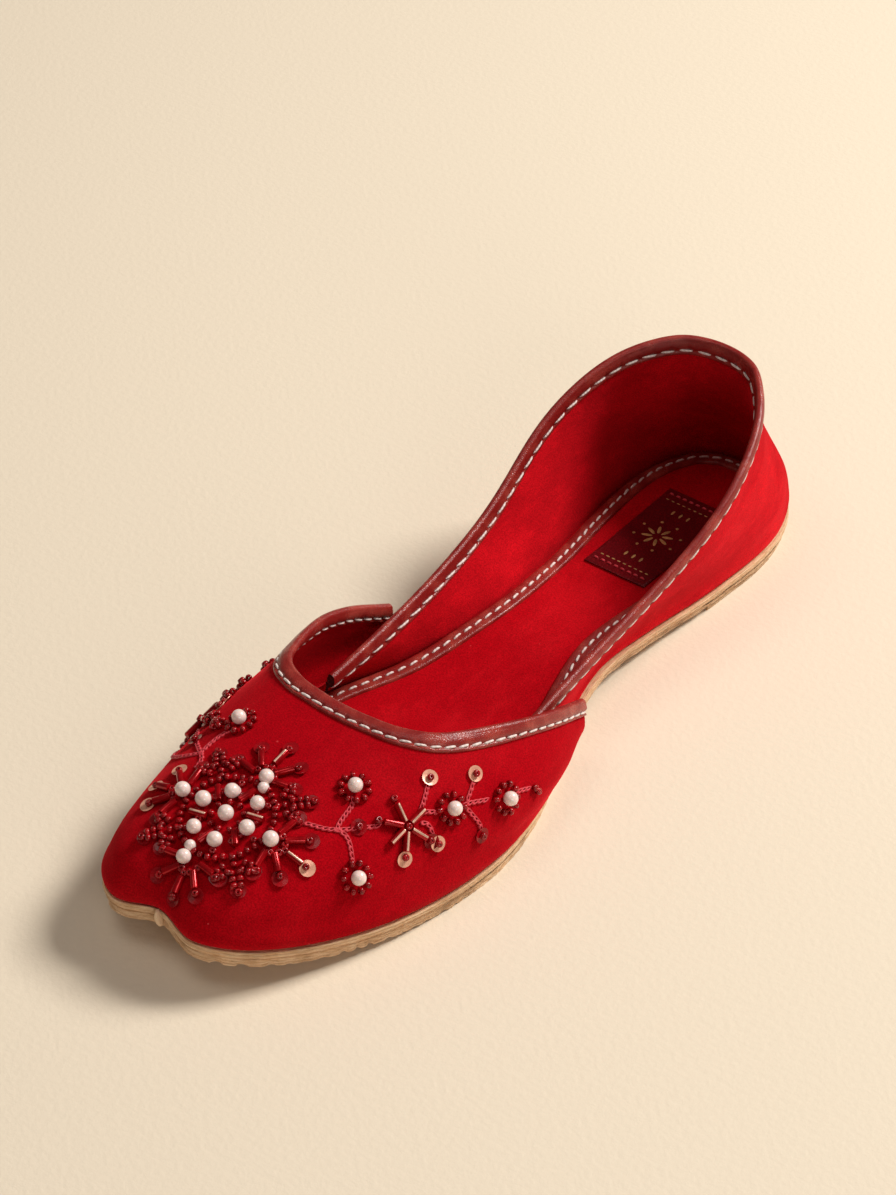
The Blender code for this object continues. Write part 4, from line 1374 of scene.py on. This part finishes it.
class Beads:
    """Lists of bead places, filled motif by motif."""

    def __init__(self, ground):
        self.ground = ground
        self.seeds = []
        self.bugles = []
        self.gilt = []
        self.pale = []
        self.red = []
        self.small_pearls = []
        self.rng = random.Random(11)

    def seed(self, point, normal, hole=None, lift=0.00082):
        """A seed bead; its hole runs along the thread, or up where it caps a thread."""
        size = sizes().seed * self.rng.uniform(0.90, 1.08)
        way = Vector(hole) if hole is not None else Vector(normal)
        tilt = Vector([self.rng.uniform(-0.25, 0.25) for _ in range(3)])
        way = (way.normalized() + tilt).normalized()
        side = way.orthogonal()
        self.seeds.append(placed(point + normal * lift, side, way, (size, size, size)))

    def tube(self, start, end, lift=0.00085, gilt=False):
        """A bugle bead between two places on the velvet."""
        (first, out), (last, _) = start, end
        way = last - first
        middle = (first + last) / 2 + out * lift
        self.bugles.append(placed(middle, way, out, (way.length, 1.0, 1.0)))
        if gilt:
            self.gilt.append(placed(middle + out * 0.00062, way, out, (way.length * 0.94, 0.42, 0.42)))

    def spangle(self, point, normal, pale, lift=0.00035):
        """A spangle lying on the velvet."""
        tilt = Vector([self.rng.uniform(-0.12, 0.12) for _ in range(3)])
        up = (normal + tilt).normalized()
        keep = self.pale if pale else self.red
        keep.append(placed(point + normal * lift, up.orthogonal(), up))

    def row(self, places, loop=False):
        """Seed beads threaded through places in order."""
        for index, (point, normal) in enumerate(places):
            if loop:
                before, after = places[index - 1][0], places[(index + 1) % len(places)][0]
            else:
                before, after = places[max(index - 1, 0)][0], places[min(index + 1, len(places) - 1)][0]
            self.seed(point, normal, after - before)

    def around(self, centre, out, radius, count, wobble=0.00012):
        """A ring of seed beads round a place."""
        first = Vector((0, 1, 0))
        first = (first - out * first.dot(out)).normalized()
        second = out.cross(first)
        places = []
        for step in range(count):
            angle = 2 * math.pi * (step + 0.3) / count
            reach = radius + self.rng.uniform(-wobble, wobble)
            places.append(self.ground.nearest(centre + (first * math.cos(angle) + second * math.sin(angle)) * reach))
        self.row(places, loop=True)


def rosette_motif(beads):
    """Central rosette: rings of seed beads, spokes of bugles, four petals and four fans."""
    size = sizes()
    ground = beads.ground
    for radius, count, start in ((0.0122, size.ring_seeds, 0.0), (0.0042, 9, 12.0)):
        beads.row([ground.rosette(radius + beads.rng.uniform(-0.0002, 0.0002), start + 360.0 * k / count)
                   for k in range(count)], loop=True)
    for k in range(6):
        angle = 3.0 + 60.0 * k
        beads.tube(ground.rosette(0.0052, angle - 4.0), ground.rosette(0.0098, angle + 5.0), 0.0013, k % 3 == 1)
    for k in range(12):
        angle = 3.0 + 30.0 * k
        reach = 0.0080 if k % 2 == 0 else 0.0104
        beads.seed(*ground.rosette(reach, angle + 9.0))
        if k % 2 == 0:
            beads.seed(*ground.rosette(0.0072, angle - 9.0))
    for quarter in range(4):
        petal_motif(beads, 45.0 + 90.0 * quarter)
        fan_motif(beads, 90.0 * quarter, quarter)
    for radius, angle in ((0.0118, 13.0), (0.0118, 193.0), (0.0074, -22.0)):
        beads.small_pearls.append(ground.rosette(radius, angle))


def petal_motif(beads, angle):
    """Petal of three lobes, each two columns of seed beads over a red spangle."""
    ground = beads.ground
    base, out = ground.rosette(0.0142, angle)
    turn = math.radians(angle)
    outward = (ground.heel * math.cos(turn) + ground.side * math.sin(turn))
    outward = (outward - out * outward.dot(out)).normalized()
    sideways = out.cross(outward)
    for lean, rows in ((-60.0, 2), (0.0, 3), (60.0, 2)):
        tilt = math.radians(lean)
        way = outward * math.cos(tilt) + sideways * math.sin(tilt)
        flank = out.cross(way)
        for k in range(rows):
            for side in (-1, 1):
                spread = side * (0.00102 - 0.0001 * k)
                point, up = ground.nearest(base + way * (0.0026 + 0.0017 * k) + flank * spread)
                beads.seed(point, up, way, 0.0010)
        reach = 0.0026 + 0.0017 * rows
        beads.spangle(*ground.nearest(base + way * (reach - 0.0007)), False)
        tip, up = ground.nearest(base + way * reach)
        beads.seed(tip, up, None, 0.0011)
    for step in (0.0004, -0.0014):
        beads.seed(*ground.nearest(base + outward * step), outward)


def fan_motif(beads, angle, quarter):
    """Fan of five bugles that spreads from an outer pearl; quarter 0 faces the heel."""
    ground = beads.ground
    hub, out = ground.rosette(0.0142, angle)
    turn = math.radians(angle)
    outward = (ground.heel * math.cos(turn) + ground.side * math.sin(turn))
    outward = (outward - out * outward.dot(out)).normalized()
    sideways = out.cross(outward)
    length = sizes().bugle
    for order, (lean, start) in enumerate(((-82.0, 0.0028), (-40.0, 0.0033), (0.0, 0.0048), (40.0, 0.0033), (82.0, 0.0028))):
        tilt = math.radians(lean)
        way = outward * math.cos(tilt) + sideways * math.sin(tilt)
        first = ground.nearest(hub + way * start)
        last = ground.nearest(hub + way * (start + length))
        beads.tube(first, last, 0.0011, order == 2 and quarter in (0, 1))
        tip = ground.nearest(hub + way * (start + length + 0.0010))
        beads.seed(tip[0], tip[1], None, 0.0010)
        pale = (quarter == 1 and order == 2) or (quarter == 3 and order in (1, 2, 3))
        beads.spangle(*ground.nearest(hub + way * (start + length + 0.0016)), pale)
    for lean, reach in ((-22.0, 0.0034), (22.0, 0.0034), (-62.0, 0.0030), (62.0, 0.0030), (0.0, 0.0040)):
        tilt = math.radians(lean)
        way = outward * math.cos(tilt) + sideways * math.sin(tilt)
        beads.seed(*ground.nearest(hub + way * reach))


def bugle_flower(beads, share, level, turn):
    """Open flower of bugles on a stem, with spangles under two of its petals."""
    ground = beads.ground
    centre, out = ground.strip(share, level)
    first = Vector((0, 1, 0))
    first = (first - out * first.dot(out)).normalized()
    second = first.cross(out).normalized()
    if second.z > 0:
        second.negate()
    petals = ((-8.0, False, False), (62.0, False, True), (128.0, True, True), (172.0, False, False),
              (226.0, False, True), (282.0, False, True))
    for lean, pale, capped in petals:
        tilt = math.radians(lean + turn)
        way = first * math.cos(tilt) + second * math.sin(tilt)
        last = ground.nearest(centre + way * 0.0064)
        beads.tube(ground.nearest(centre + way * 0.0012), last, 0.0010, lean != 226.0)
        if capped:
            tip = ground.nearest(centre + way * 0.0077)
            beads.seed(tip[0], tip[1], None, 0.0010)
            if lean in (62.0, 128.0):
                beads.spangle(*ground.nearest(centre + way * 0.0082), pale)
    beads.seed(centre, out, None, 0.0018)


def bezier_line(ground, stem):
    """Places along a stem, read from a smooth curve through its four marks."""
    marks = np.array(stem)
    share = np.linspace(0.0, 1.0, 40)
    knots = np.linspace(0.0, 1.0, 4)
    fit = [np.polyfit(knots, marks[:, k], 3) for k in range(2)]
    shares = np.polyval(fit[0], share)
    levels = np.polyval(fit[1], share)
    here, normal, _, _ = surface_frame(vamp_surface, shares, levels)
    return here + normal * 0.00025, normal


def link_pattern():
    """One link of chain stitch: a flat drop-shaped loop of thread."""
    points, faces = pattern_mesh(bpy.ops.mesh.primitive_torus_add, major_segments=12, minor_segments=5,
                                 major_radius=1.0, minor_radius=0.52)
    points = points.copy()
    pinch = 1.0 - 0.35 * points[:, 0]
    points[:, 1] *= pinch
    return points, faces


class MOJARI_OT_pearls(bpy.types.Operator):
    """Make the pearl beads where the solids have them"""

    bl_idname = "mojari.pearls"
    bl_label = "Pearls"

    def execute(self, context):
        size = sizes()
        tone = colours()
        names = sorted(name for name in frame["nodes"] if name.startswith("pearl_"))
        ball = pattern_mesh(bpy.ops.mesh.primitive_uv_sphere_add, segments=28, ring_count=18, radius=0.5)
        places = []
        ground = Ground()
        for name in names:
            low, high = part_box(name)
            centre = (Vector(low) + Vector(high)) / 2
            number = int(name[-2:])
            share = 0.90 + 0.04 * math.sin(number * 2.3)
            if number > 11:
                share = 0.88 if number < 17 else 0.60
            centre = centre - ground.nearest(centre)[1] * (size.pearl / 2 * (1.0 - share))
            places.append(Matrix.Translation(centre) @ Matrix.Scale(size.pearl * share, 4))
        glaze = glass_material("pearl_glaze", tone.pearl, [v * 1.08 for v in tone.pearl], 0.26, Coat_Weight=0.55,
                               Coat_Roughness=0.12, Subsurface_Weight=0.12, Subsurface_Scale=0.002,
                               Sheen_Weight=0.25, Specular_IOR_Level=0.6)
        pearls = copies_piece("pearl_beads", ball, places)
        settle(pearls, [glaze], "pearl", *names)
        return {"FINISHED"}


class MOJARI_OT_beadwork(bpy.types.Operator):
    """Make the seed beads, bugles, spangles and chain-stitched stems on the vamp"""

    bl_idname = "mojari.beadwork"
    bl_label = "Beadwork"

    def execute(self, context):
        size = sizes()
        tone = colours()
        beads = Beads(Ground())
        rosette_motif(beads)
        for name in sorted(frame["nodes"]):
            if name.startswith("pearl_") and int(name[-2:]) > 11:
                low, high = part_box(name)
                place, out = beads.ground.nearest((Vector(low) + Vector(high)) / 2)
                beads.around(place, out, 0.0036, size.flower_seeds)
        for share, level, turn in BUGLE_FLOWERS:
            bugle_flower(beads, share, level, turn)
        for share, level, pale in SPANGLES:
            place, out = beads.ground.strip(share, level)
            beads.spangle(place, out, pale)
            beads.seed(place, out, None, 0.0012)
        for share, level in ((0.640, 0.400), (0.645, 0.360), (-0.690, 0.345), (-0.690, 0.310)):
            beads.seed(*beads.ground.strip(share, level))
        for share, level in FAR_CLUSTERS:
            place, out = beads.ground.strip(share, level)
            beads.around(place, out, 0.0016, 5, 0.0003)
            beads.seed(place, out, None, 0.0016)
        self.make(beads)
        self.stems(beads.ground)
        return {"FINISHED"}

    def make(self, beads):
        """Turn the lists of places into pieces."""
        size = sizes()
        tone = colours()
        points, faces = pattern_mesh(bpy.ops.mesh.primitive_torus_add, major_segments=11, minor_segments=6,
                                     major_radius=0.275, minor_radius=0.225)
        ring = (points * np.array([1.0, 1.0, 1.5]), faces)
        # Painted light: the second colour, 1.8 times the ruby, paints light shining through the glass in patches.
        ruby = glass_material("ruby_glass", tone.seed, [v * 1.8 for v in tone.seed], 0.21, Specular_IOR_Level=0.40)
        settle(copies_piece("seed_beads", ring, beads.seeds), [ruby], "velvet")
        # Painted light: the second colour, 1.5 times the lined glass, paints light shining through it in patches.
        lined = glass_material("lined_glass", tone.bugle, [v * 1.5 for v in tone.bugle], 0.19, Metallic=0.40,
                               Specular_IOR_Level=0.40)
        settle(copies_piece("bugle_beads", self.tube_pattern(), beads.bugles), [lined], "velvet", sharp=50)
        gilt = glass_material("gilt_glass", tone.gilt, [v * 0.7 for v in tone.gilt], 0.22, Metallic=0.35,
                              Specular_IOR_Level=0.8)
        settle(copies_piece("gilt_bugles", self.tube_pattern(), beads.gilt), [gilt], "velvet", sharp=50)
        disc = self.spangle_pattern()
        peach = glass_material("peach_spangle", tone.spangle, [v * 0.9 for v in tone.spangle], 0.30, Metallic=0.25,
                              Specular_IOR_Level=0.7)
        settle(copies_piece("pale_spangles", disc, beads.pale), [peach], "pearl", sharp=50)
        # Painted light: the second colour, 1.4 times the clear red, paints light shining through the spangle in
        # patches.
        clear = glass_material("red_spangle", tone.spangle_red, [v * 1.4 for v in tone.spangle_red], 0.26,
                               Specular_IOR_Level=0.3)
        settle(copies_piece("red_spangles", disc, beads.red), [clear], "velvet", sharp=50)
        ball = pattern_mesh(bpy.ops.mesh.primitive_uv_sphere_add, segments=20, ring_count=12, radius=0.0015)
        small = [Matrix.Translation(point + out * 0.0014) for point, out in beads.small_pearls]
        glaze = bpy.data.materials["pearl_glaze"]
        settle(copies_piece("small_pearls", ball, small), [glaze], "pearl")

    def tube_pattern(self):
        """A bugle of unit length: a thin tube with rounded rims."""
        radius = 0.00096
        rings = []
        for x, r in ((-0.5, 0.55), (-0.5, 0.8), (-0.485, 0.97), (-0.45, 1.0), (0.45, 1.0), (0.485, 0.97),
                     (0.5, 0.8), (0.5, 0.55)):
            rings.append([(x, radius * r * math.cos(a), radius * r * math.sin(a))
                          for a in np.linspace(0, 2 * math.pi, 12, endpoint=False)])
        piece = loft_piece("tube_pattern", rings)[0]
        points = coordinates(piece.data)
        faces = [tuple(face.vertices) for face in piece.data.polygons]
        bpy.data.objects.remove(piece, do_unlink=True)
        return points, faces

    def spangle_pattern(self):
        """A cupped disc with a hole."""
        half = sizes().spangle / 2
        rings = []
        for r, z in ((0.20, 0.00012), (1.0, 0.00042), (1.0, 0.00034), (0.20, 0.0)):
            rings.append([(half * r * math.cos(a), half * r * math.sin(a), z)
                          for a in np.linspace(0, 2 * math.pi, 24, endpoint=False)])
        piece = loft_piece("spangle_pattern", rings, closed=True)[0]
        points = coordinates(piece.data)
        faces = [tuple(face.vertices) for face in piece.data.polygons]
        bpy.data.objects.remove(piece, do_unlink=True)
        return points, faces

    def stems(self, ground):
        """Chain stitch along every stem."""
        places = []
        for stem in STEMS:
            line, outs = bezier_line(ground, stem)
            middle, direction, shares = even_points(line, 0.0015)
            for point, way, share in zip(middle, direction, shares):
                out = Vector(outs[min(int(share * len(outs)), len(outs) - 1)])
                slant = Matrix.Rotation(math.radians(16.0), 3, out)
                places.append(placed(Vector(point), slant @ Vector(way), out, (0.00090, 0.00038, 0.0006)))
        silk = thread_material("stem_silk", colours().stem, 0.12)
        settle(copies_piece("stem_stitches", link_pattern(), places), [silk], "velvet")


# Stage


class MOJARI_OT_stage(bpy.types.Operator):
    """Make the floor, the lights and the camera"""

    bl_idname = "mojari.stage"
    bl_label = "Stage"

    def execute(self, context):
        self.floor()
        self.lights()
        self.camera()
        return {"FINISHED"}

    def floor(self):
        """Pale uncoated paper that fills the view."""
        deselect()
        bpy.ops.mesh.primitive_grid_add(x_subdivisions=4, y_subdivisions=4, size=6.0)
        floor = bpy.context.active_object
        floor.name = "floor"
        made = bpy.data.materials.new("floor_paper")
        made.use_nodes = True
        tree = made.node_tree
        shader = tree.nodes["Principled BSDF"]
        place = node(tree, "ShaderNodeTexCoord").outputs["Object"]
        tooth = scaled_noise(tree, place, 520.0, 4.0)
        tone = mix_colour(tree, ranged(tree, tooth, 0.3, 0.7, 0.0, 0.10), rgba(colours().floor),
                          rgba(colours().floor, 0.88))
        tree.links.new(tone, shader.inputs["Base Color"])
        relief = node(tree, "ShaderNodeBump", in_Strength=0.30, in_Distance=0.0005)
        tree.links.new(tooth, relief.inputs["Height"])
        tree.links.new(relief.outputs["Normal"], shader.inputs["Normal"])
        set_sockets(shader, {"Roughness": 0.92, "Specular_IOR_Level": 0.1})
        floor.data.materials.append(made)

    def lights(self):
        """Soft key from the heel side, a large weak top light, a fill on the outer side and a dim room."""
        jobs = (
            # name, place, aim, energy, size, colour
            ("key", (0.66, 1.12, 1.40), (0.0, 0.0, 0.02), 39.5, 0.58, (1.0, 0.965, 0.91)),
            ("top", (-0.25, -0.45, 1.70), (0.0, 0.0, 0.02), 4.4, 0.80, (1.0, 0.93, 0.86)),
            ("fill", (1.1, -0.7, 0.6), (0.0, 0.0, 0.02), 3.4, 0.6, (1.0, 0.95, 0.90)),
        )
        for name, place, aim, energy, width, colour in jobs:
            lamp = bpy.data.lights.new(name, "AREA")
            lamp.energy = energy
            lamp.size = width
            lamp.color = colour
            holder = bpy.data.objects.new(name, lamp)
            holder.location = place
            holder.rotation_euler = (Vector(aim) - Vector(place)).to_track_quat("-Z", "Y").to_euler()
            bpy.context.scene.collection.objects.link(holder)
        room = bpy.data.worlds.new("room")
        room.use_nodes = True
        back = room.node_tree.nodes["Background"]
        back.inputs["Color"].default_value = (1.0, 0.90, 0.79, 1.0)
        back.inputs["Strength"].default_value = 0.11
        bpy.context.scene.world = room
        bpy.context.scene.view_settings.view_transform = "Standard"

    def camera(self):
        """Camera at the photograph's angle, high over the near side of the toe."""
        turn, rise, roll = math.radians(37.13), math.radians(38.82), math.radians(0.5546)
        back = Vector((math.sin(turn) * math.cos(rise), -math.cos(turn) * math.cos(rise), math.sin(rise)))
        right = Vector((math.cos(turn), math.sin(turn), 0.0))
        up = back.cross(right)
        right_rolled = right * math.cos(roll) + up * math.sin(roll)
        up_rolled = up * math.cos(roll) - right * math.sin(roll)
        target = Vector(SHIFT) + Vector((-0.02738, 0.01606 + 0.1275, 0.015))
        turned = Matrix((right_rolled, up_rolled, back)).transposed().to_4x4()
        turned.translation = target + back * 0.9379
        lens = bpy.data.cameras.new("photo_camera")
        lens.lens = 101.97
        lens.sensor_width = 36.0
        lens.clip_start = 0.05
        lens.clip_end = 20.0
        holder = bpy.data.objects.new("photo_camera", lens)
        holder.matrix_world = turned
        bpy.context.scene.collection.objects.link(holder)
        bpy.context.scene.camera = holder


class MOJARI_PT_panel(bpy.types.Panel):
    """Sizes, colours and pieces of the mojari shoe"""

    bl_label = "Mojari Shoe"
    bl_idname = "MOJARI_PT_panel"
    bl_space_type = "VIEW_3D"
    bl_region_type = "UI"
    bl_category = "Mojari"

    def draw(self, context):
        layout = self.layout
        for group in (context.scene.mojari_sizes, context.scene.mojari_colours):
            box = layout.box()
            for key in group.bl_rna.properties.keys():
                if key not in ("rna_type", "name"):
                    box.prop(group, key)
        for operator in OPERATORS:
            layout.operator(operator.bl_idname)


OPERATORS = (
    MOJARI_OT_sole,
    MOJARI_OT_upper,
    MOJARI_OT_bindings,
    MOJARI_OT_insole,
    MOJARI_OT_pearls,
    MOJARI_OT_beadwork,
    MOJARI_OT_stage,
)
CLASSES = (MojariSizes, MojariColours, *OPERATORS, MOJARI_PT_panel)


def register():
    """Register the classes and hang the settings on the scene."""
    for item in CLASSES:
        bpy.utils.register_class(item)
    bpy.types.Scene.mojari_sizes = PointerProperty(type=MojariSizes)
    bpy.types.Scene.mojari_colours = PointerProperty(type=MojariColours)


def unregister():
    """Take the settings and the classes away again."""
    del bpy.types.Scene.mojari_colours
    del bpy.types.Scene.mojari_sizes
    for item in reversed(CLASSES):
        bpy.utils.unregister_class(item)


def main():
    """Register the classes and build every piece in order."""
    register()
    bpy.ops.mojari.sole()
    bpy.ops.mojari.upper()
    bpy.ops.mojari.bindings()
    bpy.ops.mojari.insole()
    bpy.ops.mojari.pearls()
    bpy.ops.mojari.beadwork()
    bpy.ops.mojari.stage()


if __name__ == "__main__":
    main()
